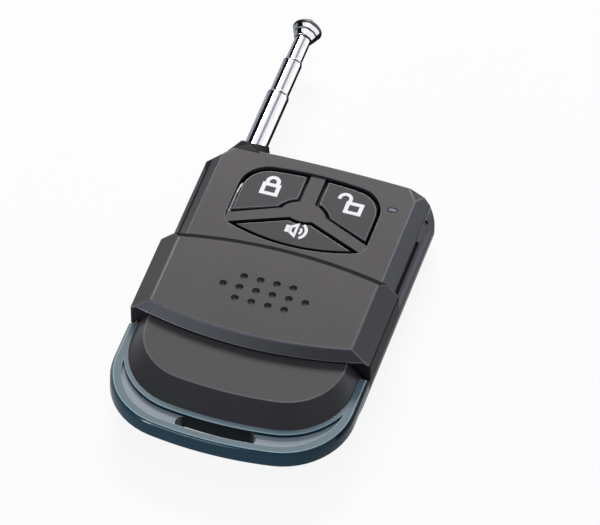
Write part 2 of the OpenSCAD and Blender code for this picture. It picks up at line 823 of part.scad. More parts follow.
// Cross-headed screw that points up from its seat
module screw(r, length, head_r, head_h) {
    difference() {
        union() {
            translate([0, 0, -head_h]) cylinder(h = head_h, r = head_r);
            cylinder(h = length, r = r);
        }
        for (turn = [0, 90]) rotate(turn) translate([-head_r*0.7, -0.15, -head_h - past])
            cube([head_r*1.4, 0.3, past + head_h*0.5]);
    }
}

module case_screws() {
    color([0.6, 0.6, 0.62]) for (p = screw_pos) translate([p[0], p[1], screw_seat_z])
        screw(pilot_r, screw_l, screw_head_r, screw_head_h);
}

module pcb_screws() {
    color([0.6, 0.6, 0.62]) for (p = pcb_screw_pos) translate([p[0], p[1], pcb_top])
        rotate([180, 0, 0]) screw(pcb_screw_r - 0.1, pcb_t + pcb_lift - 0.2, boss_r - 0.1, 0.8);
}

module tact_switch(key) {
    p = key_pos[key];
    color([0.1, 0.1, 0.1]) difference() {
        translate([p[0] - switch_w/2, p[1] - switch_w/2, pcb_top]) cube([switch_w, switch_w, switch_body_h]);
        translate([p[0], p[1], pcb_top + 1]) cylinder(h = switch_h, r = plunger_r + plunger_gap);
    }
}

module lock_switch() tact_switch(0);
module unlock_switch() tact_switch(1);
module alarm_switch() tact_switch(2);

module switch_frames() {
    side = switch_w + 0.2;
    color([0.7, 0.7, 0.72]) for (p = key_pos)
        translate([p[0], p[1], pcb_top + switch_body_h]) difference() {
            translate([-side/2, -side/2, 0]) cube([side, side, frame_t]);
            translate([0, 0, -past]) cylinder(h = 2*past, r = plunger_r + plunger_gap);
        }
}

module switch_terminals() {
    color([0.7, 0.7, 0.72]) for (p = key_pos, sx = [-1, 1], sy = [-1, 1])
        translate([p[0] + sx*(switch_w/2 + 0.4), p[1] + sy*2.2, pcb_top + 0.15])
        cube([0.8, 0.7, 0.3], center = true);
}

module switch_plunger(key) {
    p = key_pos[key];
    low = pcb_top + switch_body_h - 0.6;
    color([0.2, 0.2, 0.22]) translate([p[0], p[1], low]) cylinder(h = plunger_top - low, r = plunger_r);
}

module lock_plunger() switch_plunger(0);
module unlock_plunger() switch_plunger(1);
module alarm_plunger() switch_plunger(2);

module encoder_chip() {
    color([0.1, 0.1, 0.1]) translate([chip_pos[0], chip_pos[1], pcb_top + 0.15]) difference() {
        translate([-chip_size[0]/2, -chip_size[1]/2, 0]) cube(chip_size);
        translate([1 - chip_size[0]/2, 0, chip_size[2] - 0.1]) cylinder(h = past, r = 0.4);
    }
}

module encoder_leads() {
    color([0.75, 0.75, 0.77]) for (i = [0:chip_leads - 1], s = [0, 180])
        translate([chip_pos[0], chip_pos[1], pcb_top]) rotate(s)
        translate([(i - (chip_leads - 1)/2)*chip_pitch - 0.2, chip_size[1]/2, 0])
        rotate([90, 0, 90]) linear_extrude(0.4)
        polygon([[0, 0.8], [0.45, 0.8], [0.45, 0.2], [1, 0.2], [1, 0], [0.25, 0], [0.25, 0.6], [0, 0.6]]);
}

module saw_resonator() {
    color([0.75, 0.73, 0.65]) translate([saw_pos[0], saw_pos[1], pcb_top]) rotate_extrude()
        polygon([[0, 0], [saw_r, 0], [saw_r, 0.5], [saw_r - 0.5, 0.5], [saw_r - 0.5, saw_h - 0.3],
            [saw_r - 0.8, saw_h], [0, saw_h]]);
}

module rf_trimmer() {
    color([0.85, 0.8, 0.6]) translate([trimmer_pos[0], trimmer_pos[1], pcb_top]) difference() {
        union() {
            translate([-trimmer_w/2, -trimmer_w/2, 0]) cube([trimmer_w, trimmer_w, 1.2]);
            cylinder(h = 2, r = trimmer_w/2 - 0.5);
        }
        translate([-1.3, -0.2, 1.6]) cube([2.6, 0.4, past]);
    }
}

module rf_transistor() {
    color([0.12, 0.12, 0.12]) translate([transistor_pos[0], transistor_pos[1], pcb_top]) {
        translate([-1.45, -0.65, 0.1]) cube([2.9, 1.3, 1]);
        for (lead = [[-0.95, -1], [0.95, -1], [0, 1]])
            translate([lead[0], lead[1]*0.85, 0.15]) cube([0.4, 0.8, 0.3], center = true);
    }
}

module chip_capacitors() {
    color([0.6, 0.48, 0.35]) for (i = [0:3])
        translate([pcb_half - passive_pitch, screw_top[1] + passive_pitch*(i - 1), pcb_top + 0.4])
        cube([2, 1.25, 0.8], center = true);
}

module chip_resistors() {
    color([0.12, 0.12, 0.13]) for (s = [-1, 1], i = [0, 1])
        translate([s*(switch_w/2 + passive_pitch*(i + 1)), key_pos[2][1] + 0.4, pcb_top + 0.25])
        cube([1.25, 2, 0.5], center = true);
}

module indicator_led() {
    color([0.9, 0.9, 0.85]) translate([lens_pos[0], lens_pos[1], pcb_top + 0.35]) cube([1.6, 0.8, 0.7], center = true);
}

// Leaf that presses up towards the antenna
module antenna_clip() {
    leaf_top = antenna_z - stop_r - 0.1;
    high = leaf_top - pcb_top;
    color([0.8, 0.7, 0.4]) translate([-antenna_x - clip_w/2, key_pos[0][1] - clip_l/2, pcb_top])
        rotate([90, 0, 90]) linear_extrude(clip_w)
        polygon([[0, 0], [clip_l, 0], [clip_l, strip_t], [clip_l - 1, strip_t], [clip_l/2 + 0.3, high],
            [clip_l/2 - 0.3, high], [1, strip_t], [0, strip_t]]);
}

module battery() {
    nub = 0.8;
    color([0.7, 0.68, 0.3]) translate([-battery_l/2, battery_y, battery_z]) rotate([0, 90, 0]) {
        cylinder(h = battery_l - nub, r = battery_r);
        cylinder(h = battery_l, r = 1.6);
    }
}

// Contact strip's way from the battery to the board, on the right side
module contact_lead() {
    lead_y = battery_y + battery_r + 0.4;
    lead_in = screw_low[0] - boss_r - lead_w - 0.4;
    translate([contact_x, battery_y, pcb_top]) cube([strip_t, lead_y + strip_t - battery_y, lead_h]);
    translate([lead_in, lead_y, pcb_top]) cube([contact_x + strip_t - lead_in, strip_t, lead_h]);
    translate([lead_in, lead_y, pcb_top]) cube([lead_w, pcb_low_y + lead_w - lead_y, strip_t]);
}

module battery_plate() {
    color([0.78, 0.78, 0.8]) {
        translate([contact_x, battery_y - rib_l/2, floor_t + 0.2]) cube([strip_t, rib_l, rib_h - 0.4]);
        contact_lead();
    }
}

module battery_spring() {
    back = spring_depth;
    color([0.78, 0.78, 0.8]) mirror([1, 0, 0]) {
        translate([contact_x, battery_y - rib_l/2, floor_t + 0.2]) linear_extrude(rib_h - 0.4)
            polygon([[back - strip_t, 0], [back, 0], [back, rib_l], [back - strip_t, rib_l], [back - strip_t, 1],
                [strip_t, rib_l/2 - 0.6], [strip_t, rib_l - 0.4], [0, rib_l - 0.4], [0, rib_l/2 - 0.9],
                [back - strip_t, 0.5]]);
        contact_lead();
    }
}

module battery_door() {
    length = door_top_y - tail_y + past;
    color([0.27, 0.26, 0.27]) difference() {
        intersection() {
            rear_form();
            union() {
                translate([-door_half, tail_y - past, door_low]) cube([2*door_half, length, door_t]);
                translate([-door_half - tongue_w, tail_y - past, tongue_low])
                    cube([2*(door_half + tongue_w), length, tongue_t]);
            }
        }
        for (i = [0:4]) translate([0, battery_y - 2 - grip_pitch*i, door_low - 0.25]) rotate([0, 90, 0])
            cylinder(h = grip_l, r = 0.5, center = true);
    }
}

front_case();
rear_case();
key_loop();
sliding_cover();
lock_button();
unlock_button();
alarm_button();
light_pipe();
antenna_collar();
antenna_lower();
antenna_stop();
antenna_middle();
antenna_upper();
antenna_tip();
pcb();
pcb_screws();
lock_switch();
unlock_switch();
alarm_switch();
switch_frames();
switch_terminals();
lock_plunger();
unlock_plunger();
alarm_plunger();
encoder_chip();
encoder_leads();
saw_resonator();
rf_trimmer();
rf_transistor();
chip_capacitors();
chip_resistors();
indicator_led();
antenna_clip();
battery();
battery_spring();
battery_plate();
battery_door();
case_screws();
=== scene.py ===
# %% [markdown]
# # An alarm key fob with a sliding cover
#
# The fob lies on its back: a dark plastic case, a smoke-coloured key loop at the tail, a cover that
# slides over three buttons, and a chrome telescopic antenna. The construction comes in as a fixed frame
# of separate nodes. Here the visible pieces get their rounded edges, prints and finishes, and each
# piece rides on the body it moves with.

import math

import bpy
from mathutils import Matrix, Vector


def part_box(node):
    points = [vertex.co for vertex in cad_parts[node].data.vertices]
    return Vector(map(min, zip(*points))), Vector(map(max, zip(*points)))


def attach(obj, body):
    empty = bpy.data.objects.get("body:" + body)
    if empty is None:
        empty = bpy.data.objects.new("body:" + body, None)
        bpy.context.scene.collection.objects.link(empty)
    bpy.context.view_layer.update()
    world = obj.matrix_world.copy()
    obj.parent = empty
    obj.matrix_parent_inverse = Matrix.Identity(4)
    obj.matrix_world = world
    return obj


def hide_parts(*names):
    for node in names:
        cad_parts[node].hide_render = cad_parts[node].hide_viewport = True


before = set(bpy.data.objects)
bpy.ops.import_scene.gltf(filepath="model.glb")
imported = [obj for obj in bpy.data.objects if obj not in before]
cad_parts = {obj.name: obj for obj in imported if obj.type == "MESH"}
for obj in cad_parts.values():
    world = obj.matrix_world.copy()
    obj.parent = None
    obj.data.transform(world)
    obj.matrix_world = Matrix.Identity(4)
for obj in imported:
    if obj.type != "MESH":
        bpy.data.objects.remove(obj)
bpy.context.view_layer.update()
scene = bpy.context.scene
scene.view_settings.view_transform = "Standard"
MM = 0.001

# %% [markdown]
# ## Camera
#
# The picture was taken with a long lens from the front right, looking down at about half a right angle.
# A camera's turn could be typed in as a matrix, but two angles, a distance and the point it looks at
# are easier to read. With no roll, the camera's X turn is a right angle less the height, and its Z turn
# is the angle to the right.

# %% Camera at the photograph's angle
VIEW_TURN = math.radians(17.972)
VIEW_HEIGHT = math.radians(48.925)
VIEW_DISTANCE = 0.935
VIEW_AIM = Vector((0.00006, 0.01687, 0.0))
FRAME_WIDTH = 36
LENS = 346.35
towards_camera = Vector((
    math.sin(VIEW_TURN) * math.cos(VIEW_HEIGHT),
    -math.cos(VIEW_TURN) * math.cos(VIEW_HEIGHT),
    math.sin(VIEW_HEIGHT),
))
bpy.ops.object.select_all(action="DESELECT")
bpy.ops.object.camera_add(
    location=VIEW_AIM + VIEW_DISTANCE * towards_camera,
    rotation=(math.pi / 2 - VIEW_HEIGHT, 0, VIEW_TURN),
)
camera = bpy.context.object
camera.name = "photo_camera"
camera.data.sensor_fit = "HORIZONTAL"
camera.data.sensor_width = FRAME_WIDTH
camera.data.lens = LENS
camera.data.clip_start = 0.05
camera.data.clip_end = 20
scene.camera = camera
print("camera at", [round(v, 4) for v in camera.location])

# %% [markdown]
# ## Floor and surroundings
#
# A small product is shot on a white sweep. The floor is a plain pale sheet just under the case. To the
# camera, and in mirrors, it glows a little, so that the page stays white while the soft shadow still
# falls on it. The surroundings do the same through the Light Path node: white where they are seen, and
# only a weak, cool fill where they give light.

# %% A helper for what is seen directly, in mirrors or through glass
def seen_share(tree):
    path = tree.nodes.new("ShaderNodeLightPath")
    share = path.outputs["Is Camera Ray"]
    for ray in ("Is Glossy Ray", "Is Transmission Ray"):
        either = tree.nodes.new("ShaderNodeMath")
        either.operation = "MAXIMUM"
        tree.links.new(share, either.inputs[0])
        tree.links.new(path.outputs[ray], either.inputs[1])
        share = either.outputs[0]
    return share


print("light path helper ready")

# %% Floor
FLOOR_WIDTH = 6
FLOOR_Z = -0.0002
FLOOR_COLOUR = (0.86, 0.86, 0.87, 1)
FLOOR_GLOW = 0.9
bpy.ops.object.select_all(action="DESELECT")
bpy.ops.mesh.primitive_plane_add(size=FLOOR_WIDTH, location=(0, 0, FLOOR_Z))
floor = bpy.context.object
floor.name = "floor"
floor_paint = bpy.data.materials.new("pale_floor")
floor_paint.use_nodes = True
tree = floor_paint.node_tree
tree.nodes.clear()
glow_share = tree.nodes.new("ShaderNodeMath")
glow_share.operation = "MULTIPLY"
glow_share.inputs[1].default_value = FLOOR_GLOW
sheet = tree.nodes.new("ShaderNodeBsdfDiffuse")
sheet.inputs["Color"].default_value = FLOOR_COLOUR
glow = tree.nodes.new("ShaderNodeEmission")
mix = tree.nodes.new("ShaderNodeMixShader")
surface = tree.nodes.new("ShaderNodeOutputMaterial")
tree.links.new(seen_share(tree), glow_share.inputs[0])
tree.links.new(glow_share.outputs[0], mix.inputs["Fac"])
tree.links.new(sheet.outputs[0], mix.inputs[1])
tree.links.new(glow.outputs[0], mix.inputs[2])
tree.links.new(mix.outputs[0], surface.inputs["Surface"])
floor.data.materials.append(floor_paint)
print("floor", floor.dimensions.x, "m wide")

# %% White surroundings with a weak fill
FILL_LEVEL = 0.19
FILL_COLOUR = (0.70, 0.82, 1.0, 1)
WHITE = (1, 1, 1, 1)
world = bpy.data.worlds.new("studio")
scene.world = world
world.use_nodes = True
tree = world.node_tree
background = tree.nodes["Background"]
seen = seen_share(tree)
level = tree.nodes.new("ShaderNodeMapRange")
level.inputs["To Min"].default_value = FILL_LEVEL
level.inputs["To Max"].default_value = 1.0
tree.links.new(seen, level.inputs["Value"])
tree.links.new(level.outputs["Result"], background.inputs["Strength"])
tint = tree.nodes.new("ShaderNodeMix")
tint.data_type = "RGBA"
tint.inputs[6].default_value = FILL_COLOUR
tint.inputs[7].default_value = WHITE
tree.links.new(seen, tint.inputs[0])
tree.links.new(tint.outputs[2], background.inputs["Color"])
print("surroundings ready, fill", FILL_LEVEL)

# %% [markdown]
# ## Lamps
#
# The tops of the fob have an even grey sheen, its front slopes are nearly black, and a black shadow
# lies in front of the cover. So the plastic is dark, and the main soft box stands behind it, where a
# level top mirrors it to the camera. A weaker box overhead fills in. A strip low in front catches the
# sloping front of the cover, a small one beside it lights the slope's left end, and a cool strip on the
# right draws the light lines along the right-hand edges. Each lamp is aimed by tracking the fob's
# middle.

# %% Soft boxes
FOB_MIDDLE = Vector((0, 0.01, 0.005))


def aimed(place):
    aim = FOB_MIDDLE - Vector(place)
    return aim.to_track_quat("-Z", "Y").to_euler()


def soft_box(name, place, width, height, watts, colour):
    bpy.ops.object.select_all(action="DESELECT")
    bpy.ops.object.light_add(type="AREA", location=place, rotation=aimed(place))
    lamp = bpy.context.object
    lamp.name = name
    lamp.data.shape = "RECTANGLE"
    lamp.data.size = width
    lamp.data.size_y = height
    lamp.data.energy = watts
    lamp.data.color = colour
    print("lamp", name, watts, "W")


soft_box("key_box", (-0.20, 0.69, 0.55), width=0.45, height=0.16, watts=6.6, colour=(1.0, 0.95, 0.94))
soft_box("overhead_box", (0.05, 0.05, 0.90), width=0.50, height=0.50, watts=2.0, colour=(0.88, 0.92, 1.0))
soft_box("right_strip", (0.72, 0.58, 0.11), width=0.14, height=0.22, watts=2.2, colour=(0.74, 0.83, 1.0))
soft_box("front_strip", (-0.29, -0.83, 0.165), width=0.42, height=0.10, watts=2.5, colour=(0.78, 0.86, 1.0))
soft_box("left_strip", (-0.51, -0.77, 0.06), width=0.14, height=0.07, watts=2.8, colour=(0.80, 0.87, 1.0))

# %% [markdown]
# A photographer keeps white walls out of dark slopes and bright metal with black cards. A card could be
# set up as a part of the surroundings, but a plain sheet that only mirrors can see is easier to place:
# it casts no shadow and the camera looks through it. Two stand over the front and the left for the
# sloping foot of the case. One stands on the left of the antenna for the black line along its chrome,
# with a low grey one beside it. A grey and a black one lie on the floor on the two sides of it, and a
# grey one hangs above for the grey line along the middle.

# %% Cards for the reflections
BLACK_SHADE = 0.01
GREY_SHADE = 0.40
CARD_ROUGHNESS = 0.9
UPRIGHT = (0, math.pi / 2, 0)
LYING = (0, 0, 0)


def card_paint(name, shade):
    paint = bpy.data.materials.new(name)
    paint.use_nodes = True
    shader = paint.node_tree.nodes["Principled BSDF"]
    shader.inputs["Base Color"].default_value = (shade, shade, 1.05 * shade, 1)
    shader.inputs["Roughness"].default_value = CARD_ROUGHNESS
    shader.inputs["Specular IOR Level"].default_value = 0.0
    return paint


card_black = card_paint("card_black", BLACK_SHADE)
card_grey = card_paint("card_grey", GREY_SHADE)


def mirror_card(name, paint, place, turn, width, height):
    bpy.ops.object.select_all(action="DESELECT")
    bpy.ops.mesh.primitive_plane_add(size=1, location=place, rotation=turn)
    card = bpy.context.object
    card.name = name
    card.scale = (width, height, 1)
    card.data.materials.append(paint)
    card.visible_camera = False
    card.visible_diffuse = False
    card.visible_transmission = False
    card.visible_shadow = False
    print("card", name)


front_place = (-0.10, -0.36, 0.36)
mirror_card("front_card", card_black, front_place, aimed(front_place), width=0.80, height=0.45)
left_place = (-0.45, -0.12, 0.26)
mirror_card("left_card", card_black, left_place, aimed(left_place), width=0.50, height=0.45)
sky_place = (0.095, 0.27, 0.25)
mirror_card("sky_card", card_grey, sky_place, aimed(sky_place), width=0.10, height=0.20)
mirror_card("antenna_card", card_black, (-0.038, 0.075, 0.025), UPRIGHT, width=0.026, height=0.09)
mirror_card("left_low_card", card_grey, (-0.0385, 0.075, 0.006), UPRIGHT, width=0.014, height=0.09)
mirror_card("left_floor_card", card_grey, (-0.026, 0.065, 0.0001), LYING, width=0.024, height=0.09)
mirror_card("right_floor_card", card_black, (-0.0038, 0.055, 0.0001), LYING, width=0.014, height=0.06)

# %% [markdown]
# ## Shared surface effects
#
# Moulded plastic has three things in common on this fob: a fine spark-eroded grain, a slow cloudiness
# in its colour, and a gloss that changes a little with both. These could be set up again in every
# material, but a node group is built once and placed with its own values. All patterns read Object
# coordinates, which are metres here, so a scale of 5000 gives features of about a fifth of a
# millimetre.

# %% A helper that starts a node group
def start_group(name, inputs, outputs):
    group = bpy.data.node_groups.new(name, "ShaderNodeTree")
    for label, kind, value in inputs:
        socket = group.interface.new_socket(label, in_out="INPUT", socket_type=kind)
        socket.default_value = value
    for label, kind in outputs:
        group.interface.new_socket(label, in_out="OUTPUT", socket_type=kind)
    given = group.nodes.new("NodeGroupInput")
    result = group.nodes.new("NodeGroupOutput")
    return group, given, result


def math_node(tree, operation, first, second):
    node = tree.nodes.new("ShaderNodeMath")
    node.operation = operation
    for socket, value in zip(node.inputs, (first, second)):
        if isinstance(value, (int, float)):
            socket.default_value = value
        else:
            tree.links.new(value, socket)
    return node.outputs[0]


def noise_node(tree, place, scale, detail):
    node = tree.nodes.new("ShaderNodeTexNoise")
    node.inputs["Detail"].default_value = detail
    tree.links.new(place, node.inputs["Vector"])
    if isinstance(scale, (int, float)):
        node.inputs["Scale"].default_value = scale
    else:
        tree.links.new(scale, node.inputs["Scale"])
    return node.outputs[0]


def mix_node(tree, blend, share, first, second):
    node = tree.nodes.new("ShaderNodeMix")
    node.data_type = "RGBA"
    node.blend_type = blend
    for socket, value in zip((node.inputs[0], node.inputs[6], node.inputs[7]), (share, first, second)):
        if isinstance(value, (int, float, tuple)):
            socket.default_value = value
        else:
            tree.links.new(value, socket)
    return node.outputs[2]


print("node helpers ready")

# %% Moulded skin: grain, clouds and gloss
CLOUD_SCALE = 140
moulded_skin, given, result = start_group(
    "moulded_skin",
    [
        ("Colour", "NodeSocketColor", (0.1, 0.1, 0.1, 1)),
        ("Grain", "NodeSocketFloat", 5200),
        ("Clouds", "NodeSocketFloat", 0.08),
        ("Roughness", "NodeSocketFloat", 0.5),
        ("Roughness change", "NodeSocketFloat", 0.08),
    ],
    [("Colour", "NodeSocketColor"), ("Roughness", "NodeSocketFloat"), ("Height", "NodeSocketFloat")],
)
place = moulded_skin.nodes.new("ShaderNodeTexCoord").outputs["Object"]
grain = noise_node(moulded_skin, place, given.outputs["Grain"], detail=3)
clouds = noise_node(moulded_skin, place, CLOUD_SCALE, detail=4)
both = math_node(moulded_skin, "ADD", grain, clouds)
around_zero = math_node(moulded_skin, "SUBTRACT", both, 1.0)
shade = math_node(moulded_skin, "MULTIPLY", around_zero, given.outputs["Clouds"])
shade = math_node(moulded_skin, "MULTIPLY", shade, 2.0)
shade = math_node(moulded_skin, "ADD", shade, 1.0)
tint = moulded_skin.nodes.new("ShaderNodeVectorMath")
tint.operation = "SCALE"
moulded_skin.links.new(given.outputs["Colour"], tint.inputs[0])
moulded_skin.links.new(shade, tint.inputs["Scale"])
moulded_skin.links.new(tint.outputs[0], result.inputs["Colour"])
rough = math_node(moulded_skin, "MULTIPLY", around_zero, given.outputs["Roughness change"])
rough = math_node(moulded_skin, "ADD", rough, given.outputs["Roughness"])
moulded_skin.links.new(rough, result.inputs["Roughness"])
moulded_skin.links.new(grain, result.inputs["Height"])
print("group", moulded_skin.name)

# %% [markdown]
# Handled plastic also shows hair scratches. They are noise stretched a long way in one direction and
# cut off near its top, twice, in two directions, so that the lines are few and don't look combed. Drawn
# metal has the same stretched noise in one direction only, along the tube, and much finer.

# %% Hair scratches and drawn lines
SCRATCH_TILT = (0.2, 0.1)
SCRATCH_TURNS = (0.5, -0.9)
SCRATCH_STRETCH = (2600, 70, 900)
SCRATCH_CUT = 0.66
SCRATCH_GAIN = 9.0
DRAWN_STRETCH = (9000, 120, 9000)
hair_scratches, given, result = start_group(
    "hair_scratches",
    [("Share", "NodeSocketFloat", 0.3)],
    [("Mask", "NodeSocketFloat")],
)
place = hair_scratches.nodes.new("ShaderNodeTexCoord").outputs["Object"]
marks = []
for turn in SCRATCH_TURNS:
    mapping = hair_scratches.nodes.new("ShaderNodeMapping")
    mapping.inputs["Rotation"].default_value = (*SCRATCH_TILT, turn)
    mapping.inputs["Scale"].default_value = SCRATCH_STRETCH
    hair_scratches.links.new(place, mapping.inputs["Vector"])
    lines = noise_node(hair_scratches, mapping.outputs[0], 1.0, detail=1)
    lines = math_node(hair_scratches, "SUBTRACT", lines, SCRATCH_CUT)
    marks.append(math_node(hair_scratches, "MULTIPLY", lines, SCRATCH_GAIN))
either = math_node(hair_scratches, "MAXIMUM", marks[0], marks[1])
either = math_node(hair_scratches, "MULTIPLY", either, given.outputs["Share"])
clipped = hair_scratches.nodes.new("ShaderNodeClamp")
hair_scratches.links.new(either, clipped.inputs["Value"])
hair_scratches.links.new(clipped.outputs[0], result.inputs["Mask"])

drawn_lines, given, result = start_group(
    "drawn_lines",
    [("Roughness", "NodeSocketFloat", 0.08), ("Roughness change", "NodeSocketFloat", 0.05)],
    [("Roughness", "NodeSocketFloat"), ("Height", "NodeSocketFloat")],
)
place = drawn_lines.nodes.new("ShaderNodeTexCoord").outputs["Object"]
mapping = drawn_lines.nodes.new("ShaderNodeMapping")
mapping.inputs["Scale"].default_value = DRAWN_STRETCH
drawn_lines.links.new(place, mapping.inputs["Vector"])
lines = noise_node(drawn_lines, mapping.outputs[0], 1.0, detail=2)
rough = math_node(drawn_lines, "SUBTRACT", lines, 0.5)
rough = math_node(drawn_lines, "MULTIPLY", rough, given.outputs["Roughness change"])
rough = math_node(drawn_lines, "ADD", rough, given.outputs["Roughness"])
drawn_lines.links.new(rough, result.inputs["Roughness"])
drawn_lines.links.new(lines, result.inputs["Height"])
print("groups", hair_scratches.name, drawn_lines.name)

# %% [markdown]
# ## Plastics
#
# Every plastic of the fob is the moulded skin with its own colour, grain and gloss, and most are a
# little lighter along the hair scratches. The bump is shallow: about a hundredth of a millimetre or
# less, as on a tool that was only lightly textured. The case and the buttons each have a second plastic,
# lighter and shinier, for the narrow faces of their rounded edges: partly the wear of pockets and keys,
# partly a painted highlight for the light line along each edge. The loop's rims get a pale painted
# highlight the same way.

# %% Plastic materials
PLASTIC_RELIEF = 0.6
SCRATCH_LIFT = 1.6
SCRATCH_HAZE = 0.03


def placed_group(tree, group, values):
    node = tree.nodes.new("ShaderNodeGroup")
    node.node_tree = group
    for label, value in values.items():
        node.inputs[label].default_value = value
    return node


def add_relief(tree, height, strength, depth):
    relief = tree.nodes.new("ShaderNodeBump")
    relief.inputs["Strength"].default_value = strength
    relief.inputs["Distance"].default_value = depth * MM
    tree.links.new(height, relief.inputs["Height"])
    tree.links.new(relief.outputs["Normal"], tree.nodes["Principled BSDF"].inputs["Normal"])


def moulded_plastic(
    name, colour, roughness, grain=5200, clouds=0.08, bump=0.012, specular=0.17, scratches=0.06
):
    material = bpy.data.materials.new(name)
    material.use_nodes = True
    tree = material.node_tree
    shader = tree.nodes["Principled BSDF"]
    values = {"Colour": (*colour, 1), "Grain": grain, "Clouds": clouds, "Roughness": roughness}
    skin = placed_group(tree, moulded_skin, values)
    marks = placed_group(tree, hair_scratches, {"Share": scratches})
    scratched = (*[min(1.0, SCRATCH_LIFT * c + SCRATCH_HAZE) for c in colour], 1)
    shown = mix_node(tree, "MIX", marks.outputs["Mask"], skin.outputs["Colour"], scratched)
    tree.links.new(shown, shader.inputs["Base Color"])
    tree.links.new(skin.outputs["Roughness"], shader.inputs["Roughness"])
    add_relief(tree, skin.outputs["Height"], PLASTIC_RELIEF, bump)
    shader.inputs["Specular IOR Level"].default_value = specular
    return material


case_matt = moulded_plastic("case_matt", (0.034, 0.032, 0.0325), 0.42)
# Lighter edge plastics: partly wear, partly a painted highlight along the rounded edges.
case_wear_and_highlight = moulded_plastic("case_wear_and_highlight", (0.095, 0.092, 0.100), 0.30, bump=0.004, specular=0.4)
button_matt = moulded_plastic("button_matt", (0.029, 0.028, 0.0305), 0.42, grain=6400, specular=0.125)
button_wear_and_highlight = moulded_plastic("button_wear_and_highlight", (0.150, 0.146, 0.155), 0.28, bump=0.004, specular=0.4)
collar_satin = moulded_plastic("collar_satin", (0.010, 0.010, 0.011), 0.42, bump=0.004, specular=0.06)
# A near-black painted shade for faces in shadow: the rail grooves, the slope behind the cover, the cover's
# legs and the front edge of the loudspeaker button.
painted_shade_black = moulded_plastic("painted_shade_black", (0.006, 0.006, 0.007), 0.55, specular=0.05, scratches=0.0)
inner_black = moulded_plastic("inner_black", (0.022, 0.022, 0.024), 0.45)
sign_white = moulded_plastic(
    "sign_white", (0.94, 0.94, 0.93), 0.46, grain=9000, clouds=0.03, bump=0.004, scratches=0.0
)
ceramic_body = moulded_plastic("ceramic_body", (0.52, 0.43, 0.33), 0.42, clouds=0.05)
# Loop finishes with its light and shade painted in: painted light on the flats and the hollow's floor,
# painted shade on the walls and in the slot, a painted highlight on the rims.
loop_frosted_lit = moulded_plastic("loop_frosted_lit", (0.130, 0.190, 0.205), 0.42, grain=7000, clouds=0.05)
loop_floor_lit = moulded_plastic("loop_floor_lit", (0.315, 0.365, 0.392), 0.46, grain=7000, clouds=0.05)
loop_polished_shaded = moulded_plastic("loop_polished_shaded", (0.005, 0.030, 0.046), 0.16, clouds=0.05, bump=0.002)
loop_slot_shade = moulded_plastic("loop_slot_shade", (0.003, 0.011, 0.016), 0.3, clouds=0.05, bump=0.002, specular=0.05)
loop_rim_highlight = moulded_plastic("loop_rim_highlight", (0.30, 0.43, 0.46), 0.22, clouds=0.04, bump=0.002, specular=0.4)
lens_smoke = moulded_plastic("lens_smoke", (0.090, 0.102, 0.138), 0.38, clouds=0.03, bump=0.002, specular=0.2)
print("plastics from", case_matt.name, "to", lens_smoke.name)

# %% [markdown]
# ## Metals, board and battery
#
# The antenna is drawn brass tube with bright chrome, so its gloss runs in fine lines along it. Screws
# and battery contacts are nickel-plated steel, duller, and the antenna's clip and stop ring are brass.
# The board is green solder mask over a copper pattern that just shows through. The battery has a plain
# shrunk sleeve with bare ends, told apart by how far along it a point is.

# %% Metal materials
METAL_GRAIN = 2500
METAL_CLOUDS = 0.03
METAL_RELIEF = 0.3
METAL_BUMP = 0.001


def drawn_metal(name, colour, roughness, change=0.04):
    material = bpy.data.materials.new(name)
    material.use_nodes = True
    tree = material.node_tree
    shader = tree.nodes["Principled BSDF"]
    shader.inputs["Metallic"].default_value = 1.0
    values = {"Colour": (*colour, 1), "Grain": METAL_GRAIN, "Clouds": METAL_CLOUDS}
    skin = placed_group(tree, moulded_skin, values)
    lines = placed_group(tree, drawn_lines, {"Roughness": roughness, "Roughness change": change})
    tree.links.new(skin.outputs["Colour"], shader.inputs["Base Color"])
    tree.links.new(lines.outputs["Roughness"], shader.inputs["Roughness"])
    add_relief(tree, lines.outputs["Height"], METAL_RELIEF, METAL_BUMP)
    return material


chrome = drawn_metal("chrome", (0.86, 0.865, 0.88), 0.07)
plated_steel = drawn_metal("plated_steel", (0.58, 0.57, 0.55), 0.28, 0.08)
spring_brass = drawn_metal("spring_brass", (0.72, 0.54, 0.26), 0.26, 0.08)
# A dark metal for painted shade in the grooves of the tubes and on the knob's grooves and rim.
groove_shade_metal = drawn_metal("groove_shade_metal", (0.09, 0.09, 0.095), 0.35, 0.08)
print("metals", chrome.name, plated_steel.name, spring_brass.name, groove_shade_metal.name)

# %% Board and battery sleeve
BOARD_PATTERN = {
    "Scale": 260,
    "Mortar Size": 0.03,
    "Color1": (1, 1, 1, 1),
    "Color2": (0.82, 0.9, 0.8, 1),
    "Mortar": (1.9, 1.7, 1.2, 1),
}
board_green = moulded_plastic("board_green", (0.018, 0.11, 0.045), 0.3, grain=1800, clouds=0.15, specular=0.5)
tree = board_green.node_tree
shader = tree.nodes["Principled BSDF"]
under_mask = tree.nodes.new("ShaderNodeTexBrick")
for label, value in BOARD_PATTERN.items():
    under_mask.inputs[label].default_value = value
tree.links.new(tree.nodes.new("ShaderNodeTexCoord").outputs["Object"], under_mask.inputs["Vector"])
mask_colour = shader.inputs["Base Color"].links[0].from_socket
tracks = mix_node(tree, "MULTIPLY", 1.0, mask_colour, under_mask.outputs["Color"])
tree.links.new(tracks, shader.inputs["Base Color"])

